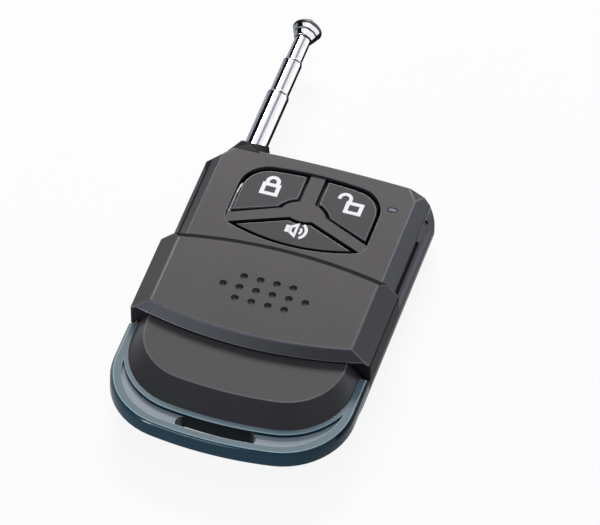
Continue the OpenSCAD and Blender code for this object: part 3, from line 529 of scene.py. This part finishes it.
BARE_END = 1.1
BARE_COLOUR = (0.6, 0.59, 0.57, 1)
SLEEVE_COLOUR = (0.05, 0.07, 0.16)
battery_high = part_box("battery")[1]
battery_sleeve = moulded_plastic("battery_sleeve", SLEEVE_COLOUR, 0.3, clouds=0.04, bump=0.003, specular=0.5)
tree = battery_sleeve.node_tree
shader = tree.nodes["Principled BSDF"]
along = tree.nodes.new("ShaderNodeSeparateXYZ")
tree.links.new(tree.nodes.new("ShaderNodeTexCoord").outputs["Object"], along.inputs[0])
from_middle = math_node(tree, "ABSOLUTE", along.outputs["X"], 0.0)
bare_end = math_node(tree, "GREATER_THAN", from_middle, battery_high.x - BARE_END * MM)
sleeve_colour = shader.inputs["Base Color"].links[0].from_socket
ends = mix_node(tree, "MIX", bare_end, sleeve_colour, BARE_COLOUR)
tree.links.new(ends, shader.inputs["Base Color"])
tree.links.new(bare_end, shader.inputs["Metallic"])
print("board and battery ready")

# %% [markdown]
# ## Finishes of the inner pieces
#
# The pieces inside the case are the right shape already, so they keep the frame's own meshes and only
# get a finish. A table from node to finish is the plainest way to do that.

# %% Dress the inner nodes
inner_finish = {
    "antenna_stop": spring_brass,
    "antenna_clip": spring_brass,
    "pcb": board_green,
    "pcb_screws": plated_steel,
    "case_screws": plated_steel,
    "lock_switch": inner_black,
    "unlock_switch": inner_black,
    "alarm_switch": inner_black,
    "switch_frames": plated_steel,
    "switch_terminals": plated_steel,
    "lock_plunger": inner_black,
    "unlock_plunger": inner_black,
    "alarm_plunger": inner_black,
    "encoder_chip": inner_black,
    "encoder_leads": plated_steel,
    "saw_resonator": plated_steel,
    "rf_trimmer": ceramic_body,
    "rf_transistor": inner_black,
    "chip_capacitors": ceramic_body,
    "chip_resistors": inner_black,
    "indicator_led": ceramic_body,
    "battery": battery_sleeve,
    "battery_spring": plated_steel,
    "battery_plate": plated_steel,
}
for node_name, finish in inner_finish.items():
    for material_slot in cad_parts[node_name].material_slots:
        material_slot.material = finish
print("inner nodes dressed", len(inner_finish))

# %% [markdown]
# ## Rounding the moulded shells
#
# No moulded edge is truly sharp: a tool leaves a small radius, and it is that radius which draws the
# thin light line along each edge in a photograph. The shells come from the construction with sharp
# edges. One could model them again, but a copy of the construction mesh, merged and cleaned, keeps
# every size right. Its sharp outer edges are then bevelled, and the bevel operator puts the new narrow
# faces in the slot of the lighter edge plastic, which is partly wear and partly a painted highlight.

# %% Helpers for copying and bevelling
MERGE_REACH = 0.004
FLAT_ANGLE = math.radians(0.5)
SHARP_ANGLE = math.radians(30)
SMOOTH_ANGLE = math.radians(35)
# Slot of the lighter edge plastic: partly wear, partly a painted highlight.
WORN_AND_LIT = 1
# Slot of the near-black painted shade.
PAINTED_SHADE = 2


def only(piece):
    bpy.ops.object.select_all(action="DESELECT")
    piece.select_set(True)
    bpy.context.view_layer.objects.active = piece


def copy_of_node(node_name, name, finishes):
    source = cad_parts[node_name]
    piece = source.copy()
    piece.data = source.data.copy()
    piece.name = name
    piece.data.name = name
    piece.parent = None
    for key in list(piece.keys()):
        del piece[key]
    scene.collection.objects.link(piece)
    piece.data.materials.clear()
    for finish in finishes:
        piece.data.materials.append(finish)
    only(piece)
    bpy.ops.object.mode_set(mode="EDIT")
    bpy.ops.mesh.select_all(action="SELECT")
    bpy.ops.mesh.remove_doubles(threshold=MERGE_REACH * MM)
    bpy.ops.mesh.dissolve_limited(angle_limit=FLAT_ANGLE)
    bpy.ops.object.mode_set(mode="OBJECT")
    return piece


def convex_edges(mesh):
    sides = {}
    for face in mesh.polygons:
        corners = list(face.vertices)
        for first, second in zip(corners, corners[1:] + corners[:1]):
            along = mesh.vertices[second].co - mesh.vertices[first].co
            key = (min(first, second), max(first, second))
            sides.setdefault(key, []).append((face.normal.copy(), face.normal.cross(along)))
    return {key for key, pair in sides.items() if len(pair) == 2 and pair[0][0].dot(pair[1][1]) < 0}


def bevel_sharp(piece, choose, width, segments=2):
    only(piece)
    bpy.context.tool_settings.mesh_select_mode = (False, True, False)
    bpy.ops.object.mode_set(mode="EDIT")
    bpy.ops.mesh.select_all(action="DESELECT")
    bpy.ops.mesh.edges_select_sharp(sharpness=SHARP_ANGLE)
    bpy.ops.object.mode_set(mode="OBJECT")
    mesh = piece.data
    outward = convex_edges(mesh)
    wanted = []
    for edge in mesh.edges:
        ends = [mesh.vertices[i].co / MM for i in edge.vertices]
        if edge.select and tuple(sorted(edge.vertices)) in outward and choose(ends[0], ends[1]):
            wanted.append(edge.index)
    mesh.vertices.foreach_set("select", [False] * len(mesh.vertices))
    mesh.polygons.foreach_set("select", [False] * len(mesh.polygons))
    mesh.edges.foreach_set("select", [False] * len(mesh.edges))
    for index in wanted:
        mesh.edges[index].select = True
        for vertex in mesh.edges[index].vertices:
            mesh.vertices[vertex].select = True
    bpy.ops.object.mode_set(mode="EDIT")
    bpy.ops.mesh.bevel(
        offset=width * MM, segments=segments, affect="EDGES", clamp_overlap=False, material=WORN_AND_LIT
    )
    bpy.ops.object.mode_set(mode="OBJECT")
    print(piece.name, "edges rounded", len(wanted))


# Gives the chosen faces the near-black painted shade.
def paint_shade_on(piece, chosen):
    for face in piece.data.polygons:
        if chosen(face.normal, face.center / MM):
            face.material_index = PAINTED_SHADE


def finish_shell(piece):
    only(piece)
    bpy.ops.object.shade_smooth_by_angle(angle=SMOOTH_ANGLE)
    weights = piece.modifiers.new("even_light", "WEIGHTED_NORMAL")
    weights.keep_sharp = True
    bpy.ops.object.modifier_apply(modifier=weights.name)


def on_body(piece, body, slot_name, *replaced):
    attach(piece, body)
    if replaced:
        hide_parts(*replaced)


print("shell helpers ready")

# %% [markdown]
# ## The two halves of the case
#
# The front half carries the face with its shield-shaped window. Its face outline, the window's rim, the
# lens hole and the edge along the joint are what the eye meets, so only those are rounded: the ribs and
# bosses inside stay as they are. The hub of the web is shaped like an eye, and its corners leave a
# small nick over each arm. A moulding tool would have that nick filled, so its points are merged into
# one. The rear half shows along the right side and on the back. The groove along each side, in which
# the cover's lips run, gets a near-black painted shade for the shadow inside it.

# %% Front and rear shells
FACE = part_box("front_case")[1].z / MM
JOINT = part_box("rear_case")[1].z / MM
SLACK = 0.05
NEAR = 0.1
WALL_HEIGHT = 1.0
CASE_RADIUS = 0.14
SIDE_BORDER = 17.9
TOP_BORDER = 28.2


def on_border(middle):
    return abs(middle.x) > SIDE_BORDER or middle.y > TOP_BORDER


def front_edges(a, b):
    low = min(a.z, b.z)
    high = max(a.z, b.z)
    on_face = low > FACE - NEAR
    slanted = high > FACE - NEAR and high - low > WALL_HEIGHT
    along_joint = high < JOINT + SLACK and low > JOINT - SLACK and on_border((a + b) / 2)
    return on_face or slanted or along_joint


def merge_points(piece, x, y, reach, low, high):
    only(piece)
    bpy.context.tool_settings.mesh_select_mode = (True, False, False)
    bpy.ops.object.mode_set(mode="EDIT")
    bpy.ops.mesh.select_all(action="DESELECT")
    bpy.ops.object.mode_set(mode="OBJECT")
    chosen = 0
    for point in piece.data.vertices:
        place = point.co / MM
        point.select = math.hypot(place.x - x, place.y - y) < reach and low < place.z < high
        chosen += point.select
    bpy.ops.object.mode_set(mode="EDIT")
    bpy.ops.mesh.merge(type="CENTER")
    bpy.ops.object.mode_set(mode="OBJECT")
    print(piece.name, "points merged", chosen)


NICK_X = 3.59
NICK_Y = 18.98
NICK_REACH = 0.24
WEB_TOP = 9.9
WEB_UNDER = 9.3
front_shell = copy_of_node("front_case", "front_shell", [case_matt, case_wear_and_highlight])
for level in (WEB_TOP, WEB_UNDER):
    for side in (-1, 1):
        merge_points(front_shell, side * NICK_X, NICK_Y, NICK_REACH, level - SLACK, level + SLACK)
bevel_sharp(front_shell, front_edges, CASE_RADIUS)
finish_shell(front_shell)
on_body(front_shell, "case", "case_plastic", "front_case")

BACK_BORDER = 17.0
RAIL_LOW = 0.65
RAIL_HIGH = 0.1


def rear_edges(a, b):
    middle = (a + b) / 2
    on_joint = min(a.z, b.z) > JOINT - SLACK and on_border(middle)
    on_back = max(a.z, b.z) < SLACK and (abs(middle.x) > BACK_BORDER or middle.y > TOP_BORDER)
    return on_joint or on_back


# Faces inside the groove along each side get the near-black painted shade.
def in_rail(normal, centre):
    return JOINT - RAIL_LOW < centre.z < JOINT - RAIL_HIGH and abs(centre.x) > BACK_BORDER


rear_shell = copy_of_node("rear_case", "rear_shell", [case_matt, case_wear_and_highlight, painted_shade_black])
bevel_sharp(rear_shell, rear_edges, CASE_RADIUS)
paint_shade_on(rear_shell, in_rail)
finish_shell(rear_shell)
on_body(rear_shell, "case", "case_plastic", "rear_case")

# %% [markdown]
# ## The sliding cover and the battery door
#
# The cover is a shallow bridge over the case. Its outline gets a larger radius than the case, because a
# thumb rubs it all day. The rims of the small round thumb hollows stay sharp and matt, so that they are
# soft spots and don't sparkle. The narrow slope behind the cover is painted a deep dull black: painted
# shade for the dark line along its rear edge. The fronts and sides of the two legs get the same painted
# shade.

# %% Cover and door
COVER_RADIUS = 0.2
DOOR_RADIUS = 0.1
DOOR_RIM = 0.25
LIPS_TOP = 6.9
HOLLOWS_HALF = 9
HOLLOWS_FRONT = -5.5
HOLLOWS_REAR = 3.0
HOLLOWS_LOW = 11.5
REAR_SLOPE = 4
LEGS_FRONT = -8
LEGS_INSIDE = 17
LEGS_OUTSIDE = 19.7
LEANS_BACK = 0.25
LEANS_UP = 0.3
LOOKS_FORWARD = -0.9


def cover_outline(a, b):
    middle = (a + b) / 2
    in_field = abs(middle.x) < HOLLOWS_HALF and HOLLOWS_FRONT < middle.y < HOLLOWS_REAR
    in_hollows = in_field and middle.z > HOLLOWS_LOW
    return not in_hollows and middle.z > LIPS_TOP


# The rear slope and the legs' fronts and sides get the near-black painted shade.
def gets_painted_shade(normal, centre):
    leaning = normal.y > LEANS_BACK and normal.z > LEANS_UP
    rear_slope = leaning and centre.z > FACE and centre.y > REAR_SLOPE
    leg_front = normal.y < LOOKS_FORWARD and centre.y < LEGS_FRONT and abs(centre.x) > LEGS_INSIDE
    leg_side = abs(centre.x) > LEGS_OUTSIDE
    return rear_slope or leg_front or leg_side


thumb_cover = copy_of_node("sliding_cover", "thumb_cover", [case_matt, case_wear_and_highlight, painted_shade_black])
bevel_sharp(thumb_cover, cover_outline, COVER_RADIUS, segments=3)
paint_shade_on(thumb_cover, gets_painted_shade)
finish_shell(thumb_cover)
on_body(thumb_cover, "cover", "case_plastic", "sliding_cover")

back_door = copy_of_node("battery_door", "back_door", [case_matt, case_wear_and_highlight])
bevel_sharp(back_door, lambda a, b: max(a.z, b.z) < DOOR_RIM, DOOR_RADIUS)
finish_shell(back_door)
on_body(back_door, "door", "case_plastic", "battery_door")

# %% [markdown]
# ## Buttons
#
# Each button is a separate cap that fills its third of the window. Its top edge is rounded a little
# more than the rim of the window, and the narrow faces of that rounding get the lighter edge plastic,
# partly wear and partly a painted highlight, so the edge shows as a pale line on the side away from
# the light. Along the front of the loudspeaker button that rounding gets the near-black painted shade
# instead, so that the dark gap in front of it looks wider.

# %% Button caps
CAP_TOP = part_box("lock_button")[1].z / MM
CAP_RADIUS = 0.22
CAP_BAND = 0.3
CAP_FRONT = -0.15
for key in ("lock", "unlock", "alarm"):
    cap = copy_of_node(key + "_button", key + "_cap", [button_matt, button_wear_and_highlight, painted_shade_black])
    bevel_sharp(cap, lambda a, b: min(a.z, b.z) > CAP_TOP - SLACK, CAP_RADIUS, segments=3)
    # Along the front of the loudspeaker button the rounded edge gets the near-black painted shade.
    if key == "alarm":
        paint_shade_on(cap, lambda normal, centre: normal.y < CAP_FRONT and centre.z > CAP_TOP - CAP_BAND)
    finish_shell(cap)
    on_body(cap, key + "_key", "button_plastic", key + "_button")

# %% [markdown]
# ## Key loop and lens
#
# The loop is a clear smoke-coloured moulding. Its flats are frosted by the tool's grain and its walls are
# polished. A transparent material would need the light of this one room to look right, so its light and
# shade are painted into plain finishes, given to the faces by their normals and places: painted light
# on the level flats and on the paler floor of the hollow, painted shade on the outer wall, a black
# painted shade on the walls of the hollow and of the slot for the ring, and a pale painted highlight on
# the rims. The slope on the right has that black painted shade too, so that it shows no highlight.

# %% Smoke loop
LOOP_LOW, LOOP_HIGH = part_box("key_loop")
LOOP_TOP = LOOP_HIGH.z / MM
HOLLOW_FLOOR = 6.25
LOOP_ROOT = -9.5
LOOP_RADIUS = 0.09
SLOT_HALF = 6
SLOT_WALL = 1
FLAT = 0.75
SLOPE_RIGHT = 0.7
SLOPE_UP = 0.5
SHADED_WALL = 2
PALE_FLOOR = 3
BLACK_WALL = 4


def loop_rims(a, b):
    low = min(a.z, b.z)
    high = max(a.z, b.z)
    on_top = low > LOOP_TOP - NEAR
    on_floor = low > HOLLOW_FLOOR - NEAR and high < HOLLOW_FLOOR + NEAR
    return (on_top or on_floor) and (a.y + b.y) / 2 < LOOP_ROOT


loop_finishes = [loop_frosted_lit, loop_rim_highlight, loop_polished_shaded, loop_floor_lit, loop_slot_shade]
smoke_loop = copy_of_node("key_loop", "smoke_loop", loop_finishes)
bevel_sharp(smoke_loop, loop_rims, LOOP_RADIUS)
# Walls get painted shade, black inside the hollow, in the slot and on the right slope; the hollow's floor
# gets painted light.
for face in smoke_loop.data.polygons:
    inwards = face.normal.x * face.center.x + face.normal.y * (face.center.y - LOOP_HIGH.y) < 0
    in_slot = abs(face.center.x) < SLOT_HALF * MM and face.center.y > LOOP_LOW.y + SLOT_WALL * MM
    on_right_slope = face.normal.x > SLOPE_RIGHT and face.normal.z > SLOPE_UP
    if face.material_index == 0 and abs(face.normal.z) < FLAT:
        face.material_index = BLACK_WALL if inwards or in_slot or on_right_slope else SHADED_WALL
    elif face.material_index == 0 and face.normal.z > FLAT and face.center.z < LOOP_HIGH.z - NEAR * MM:
        face.material_index = PALE_FLOOR
finish_shell(smoke_loop)
on_body(smoke_loop, "case", "loop_plastic", "key_loop")

LENS_RADIUS = 0.2
lens = copy_of_node("light_pipe", "indicator_lens", [lens_smoke, lens_smoke])
bevel_sharp(lens, lambda a, b: min(a.z, b.z) > FACE - NEAR, LENS_RADIUS, segments=3)
finish_shell(lens)
on_body(lens, "case", "lens_plastic", "light_pipe")

# %% [markdown]
# ## Collar
#
# The collar is a plain black moulding that swells out of the case and is cut off on the slant where the
# tube leaves it. Its shape is the construction's own, so it is a copy too, with its outer rims rounded.

# %% Collar
COLLAR_FOOT = 28.9
COLLAR_RADIUS = 0.12
collar = copy_of_node("antenna_collar", "collar", [collar_satin, collar_satin])
bevel_sharp(collar, lambda a, b: min(a.y, b.y) > COLLAR_FOOT, COLLAR_RADIUS)
finish_shell(collar)
on_body(collar, "case", "black_plastic", "antenna_collar")

# %% [markdown]
# ## Turned pieces of the antenna
#
# The tubes and the knob are round about the antenna's axis. Spinning a profile would make them, but the
# way a beginner shapes a turned piece by hand is as good: start from a disc, extrude it along the axis,
# and scale the new ring. Each row of the table is one ring, with its place along the axis and its
# radius, and a place that goes back makes the bore of a tube. The ends and the outer radii are read
# from the frame.

# %% A helper for turned pieces
def along_axis(node_name):
    low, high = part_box(node_name)
    return low.y / MM, high.y / MM, (high.x - low.x) / 2 / MM


tube_low, tube_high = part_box("antenna_lower")
AXIS_X = (tube_low.x + tube_high.x) / 2 / MM
AXIS_Z = (tube_low.z + tube_high.z) / 2 / MM
TURNED_SIDES = 64
TURNED_ANGLE = math.radians(40)


def turned(name, rings, finish):
    bpy.ops.object.select_all(action="DESELECT")
    first_y, radius = rings[0]
    bpy.ops.mesh.primitive_circle_add(
        vertices=TURNED_SIDES,
        radius=radius * MM,
        fill_type="NGON",
        location=(AXIS_X * MM, first_y * MM, AXIS_Z * MM),
        rotation=(math.pi / 2, 0, 0),
    )
    piece = bpy.context.object
    piece.name = name
    piece.data.name = name
    bpy.ops.object.transform_apply(location=True, rotation=True, scale=True)
    bpy.ops.object.mode_set(mode="EDIT")
    bpy.ops.mesh.select_all(action="SELECT")
    last_y = first_y
    for ring_y, ring_radius in rings[1:]:
        step = (0, (ring_y - last_y) * MM, 0)
        bpy.ops.mesh.extrude_region_move(TRANSFORM_OT_translate={"value": step})
        scale = ring_radius / radius
        centre = (AXIS_X * MM, ring_y * MM, AXIS_Z * MM)
        bpy.ops.transform.resize(value=(scale, 1, scale), center_override=centre)
        last_y = ring_y
        radius = ring_radius
    bpy.ops.mesh.select_all(action="SELECT")
    bpy.ops.mesh.normals_make_consistent(inside=False)
    bpy.ops.object.mode_set(mode="OBJECT")
    piece.data.materials.append(finish)
    bpy.ops.object.shade_smooth_by_angle(angle=TURNED_ANGLE)
    print(name, "rings", len(rings))
    return piece


# %% [markdown]
# A drawn tube is rolled in a little at its open end, with a groove behind the roll, so that the next
# section can't be pulled out. The grooves get a dark metal: painted shade for the shadow and dark
# reflections in them. The bore runs down to a thin end wall, so that the next section has its whole
# length to slide in. The knob is a trumpet: a thin groove at the rod, a cone, a second groove half way,
# a second cone up to the rim, and a blunt point behind it. Its grooves and its rim get the same dark
# painted shade.

# %% Tubes and knob
TUBE_WALL = 0.2
TUBE_END = 0.1
AXIS_RADIUS = 0.02


# Gives the faces within the spans the dark metal of painted shade.
def darken(piece, *spans):
    piece.data.materials.append(groove_shade_metal)
    for face in piece.data.polygons:
        place = face.center.y / MM
        if any(low < place < high for low, high in spans):
            face.material_index = 1


def rolled_tube(name, node_name):
    low, high, r = along_axis(node_name)
    bore = r - TUBE_WALL
    foot = [(low, bore), (low, r - 0.04), (low + 0.04, r)]
    groove = [(high - 0.75, r), (high - 0.7, r - 0.08), (high - 0.5, r - 0.08), (high - 0.45, r)]
    roll = [(high - 0.2, r - 0.02), (high - 0.06, r - 0.07), (high, r - 0.13), (high, bore + 0.03)]
    inside = [(high - 0.04, bore), (low + TUBE_END, bore), (low + TUBE_END, AXIS_RADIUS)]
    tube = turned(name, foot + groove + roll + inside, chrome)
    darken(tube, (high - 0.74, high - 0.46))
    return tube


lower_tube = rolled_tube("lower_tube", "antenna_lower")
on_body(lower_tube, "antenna_a", "antenna_chrome", "antenna_lower")
middle_tube = rolled_tube("middle_tube", "antenna_middle")
on_body(middle_tube, "antenna_b", "antenna_chrome", "antenna_middle")

rod_low, rod_high, rod_r = along_axis("antenna_upper")
rod_rings = [(rod_low, rod_r - 0.3), (rod_low, rod_r - 0.05), (rod_low + 0.05, rod_r), (rod_high, rod_r)]
upper_rod = turned("upper_rod", rod_rings, chrome)
on_body(upper_rod, "antenna_c", "antenna_chrome", "antenna_upper")

tip_low, tip_high, tip_r = along_axis("antenna_tip")
KNOB_RINGS = [
    (0, rod_r), (0.2, rod_r - 0.1), (0.32, rod_r - 0.1), (0.36, 1.5), (0.42, 1.56),
    (1.25, 1.94), (1.3, 1.86), (1.5, 1.86), (1.56, 2.02), (1.62, 2.08),
    (2.25, 2.323), (2.5, 2.42), (2.55, 2.46), (2.62, tip_r), (2.78, tip_r), (2.86, 2.44),
    (3.1, 2.26), (3.5, 1.92), (3.9, 1.54), (4.3, 1.12), (4.65, 0.72), (4.85, 0.44),
]
KNOB_GROOVES = [(0.1, 0.35), (1.26, 1.55), (2.26, 2.9)]
knob_point = [(tip_high - 0.05, 0.22), (tip_high, AXIS_RADIUS)]
knob = turned("knob", [(tip_low + step, radius) for step, radius in KNOB_RINGS] + knob_point, chrome)
darken(knob, *[(tip_low + low, tip_low + high) for low, high in KNOB_GROOVES])
on_body(knob, "antenna_c", "antenna_chrome", "antenna_tip")

# %% [markdown]
# ## Signs on the buttons
#
# The three signs are white prints: a closed padlock, an open padlock and a loudspeaker with two waves.
# A picture could be projected on the caps, but a print has a real edge and a real thickness, so the
# signs are flat shapes a few hundredths of a millimetre thick. A frame is a plane with its face inset
# and the middle deleted. An arc is a disc with an inset, cut down to the part of the ring that is
# wanted.

# %% Helpers for flat signs
SIGN_Z = CAP_TOP
INK = 0.04
ARC_SIDES = 64


def delete_faces(piece, unwanted):
    bpy.ops.object.mode_set(mode="OBJECT")
    bpy.context.tool_settings.mesh_select_mode = (False, False, True)
    mesh = piece.data
    mesh.vertices.foreach_set("select", [False] * len(mesh.vertices))
    mesh.edges.foreach_set("select", [False] * len(mesh.edges))
    for face in mesh.polygons:
        face.select = unwanted(face.center / MM)
    bpy.ops.object.mode_set(mode="EDIT")
    bpy.ops.mesh.delete(type="FACE")
    bpy.ops.object.mode_set(mode="OBJECT")


def flat_plate(x, y, width, height):
    bpy.ops.object.select_all(action="DESELECT")
    bpy.ops.mesh.primitive_plane_add(size=MM, location=(x * MM, y * MM, SIGN_Z * MM))
    plate = bpy.context.object
    plate.scale = (width, height, 1)
    bpy.ops.object.transform_apply(location=True, rotation=True, scale=True)
    return plate


def flat_frame(x, y, width, height, stroke):
    plate = flat_plate(x, y, width, height)
    bpy.ops.object.mode_set(mode="EDIT")
    bpy.ops.mesh.select_all(action="SELECT")
    bpy.ops.mesh.inset(thickness=stroke * MM)
    delete_faces(plate, lambda c: abs(c.x - x) < 0.01 and abs(c.y - y) < 0.01)
    return plate


def flat_arc(x, y, radius, stroke, keep):
    bpy.ops.object.select_all(action="DESELECT")
    bpy.ops.mesh.primitive_circle_add(
        vertices=ARC_SIDES, radius=radius * MM, fill_type="NGON", location=(x * MM, y * MM, SIGN_Z * MM)
    )
    arc = bpy.context.object
    bpy.ops.object.transform_apply(location=True, rotation=True, scale=True)
    bpy.ops.object.mode_set(mode="EDIT")
    bpy.ops.mesh.select_all(action="SELECT")
    bpy.ops.mesh.inset(thickness=stroke * MM)
    delete_faces(arc, lambda c: (c.x - x) ** 2 + (c.y - y) ** 2 < 0.01 or not keep(c.x - x, c.y - y))
    return arc


def finish_sign(name, parts, body):
    bpy.ops.object.select_all(action="DESELECT")
    for part in parts:
        part.select_set(True)
    bpy.context.view_layer.objects.active = parts[0]
    bpy.ops.object.join()
    sign = bpy.context.object
    sign.name = name
    sign.data.name = name
    bpy.ops.object.mode_set(mode="EDIT")
    bpy.ops.mesh.select_all(action="SELECT")
    bpy.ops.mesh.remove_doubles(threshold=MERGE_REACH / 2 * MM)
    bpy.ops.object.mode_set(mode="OBJECT")
    ink = sign.modifiers.new("ink", "SOLIDIFY")
    ink.thickness = INK * MM
    ink.offset = 1
    bpy.ops.object.modifier_apply(modifier=ink.name)
    sign.data.materials.append(sign_white)
    on_body(sign, body, "button_plastic")
    print(name, "faces", len(sign.data.polygons))


print("sign helpers ready")

# %% [markdown]
# The padlock's shackle is half a ring on two short legs. On the open padlock the ring stands to the
# left, with its right leg in the body and its left leg short and free. The loudspeaker's horn starts as
# a frame: scaling its right-hand edge makes it flare.

# %% The three signs
SHACKLE = 1.22
LOCK_STROKE = 0.66
OPEN_STROKE = 0.6
SHACKLE_RISE = 1.7
LEG_RISE = 1.5
LEG_LENGTH = 0.4
LEG_X = 0.89
lock_x, lock_y = -6.7, 22.1
lock_parts = [
    flat_frame(lock_x, lock_y, width=3.1, height=2.6, stroke=0.68),
    flat_arc(lock_x, lock_y + SHACKLE_RISE, SHACKLE, LOCK_STROKE, keep=lambda x, y: y > 0),
    flat_plate(lock_x - LEG_X, lock_y + LEG_RISE, width=LOCK_STROKE, height=LEG_LENGTH),
    flat_plate(lock_x + LEG_X, lock_y + LEG_RISE, width=LOCK_STROKE, height=LEG_LENGTH),
]
finish_sign("lock_sign", lock_parts, "lock_key")

open_x, open_y = 7.4, 22.2
open_parts = [
    flat_frame(open_x, open_y, width=3.0, height=2.6, stroke=0.66),
    flat_arc(open_x - 1.9, open_y + SHACKLE_RISE, SHACKLE, OPEN_STROKE, keep=lambda x, y: y > 0),
    flat_plate(open_x - 0.98, open_y + LEG_RISE, width=OPEN_STROKE, height=LEG_LENGTH),
    flat_plate(open_x - 2.82, open_y + 1.55, width=OPEN_STROKE, height=0.3),
]
finish_sign("unlock_sign", open_parts, "unlock_key")

horn_x, horn_y = -0.45, 14.95
HORN_HEIGHT = 1.5
FLARE = 2.2
MAGNET_X = -1.42
WAVES_X = -0.1
box = flat_plate(MAGNET_X, horn_y, width=0.75, height=HORN_HEIGHT)
horn = flat_frame(horn_x, horn_y, width=1.3, height=HORN_HEIGHT, stroke=0.42)
bpy.ops.object.mode_set(mode="OBJECT")
bpy.context.tool_settings.mesh_select_mode = (True, False, False)
for corner in horn.data.vertices:
    corner.select = corner.co.x > horn_x * MM
bpy.ops.object.mode_set(mode="EDIT")
bpy.ops.transform.resize(value=(1, FLARE, 1), center_override=(0, horn_y * MM, SIGN_Z * MM))
bpy.ops.object.mode_set(mode="OBJECT")
waves = [
    flat_arc(WAVES_X, horn_y, radius=1.15, stroke=0.42, keep=lambda x, y: x > 0.7),
    flat_arc(WAVES_X, horn_y, radius=2.0, stroke=0.5, keep=lambda x, y: x > 0.95),
]
finish_sign("speaker_sign", [box, horn, *waves], "alarm_key")
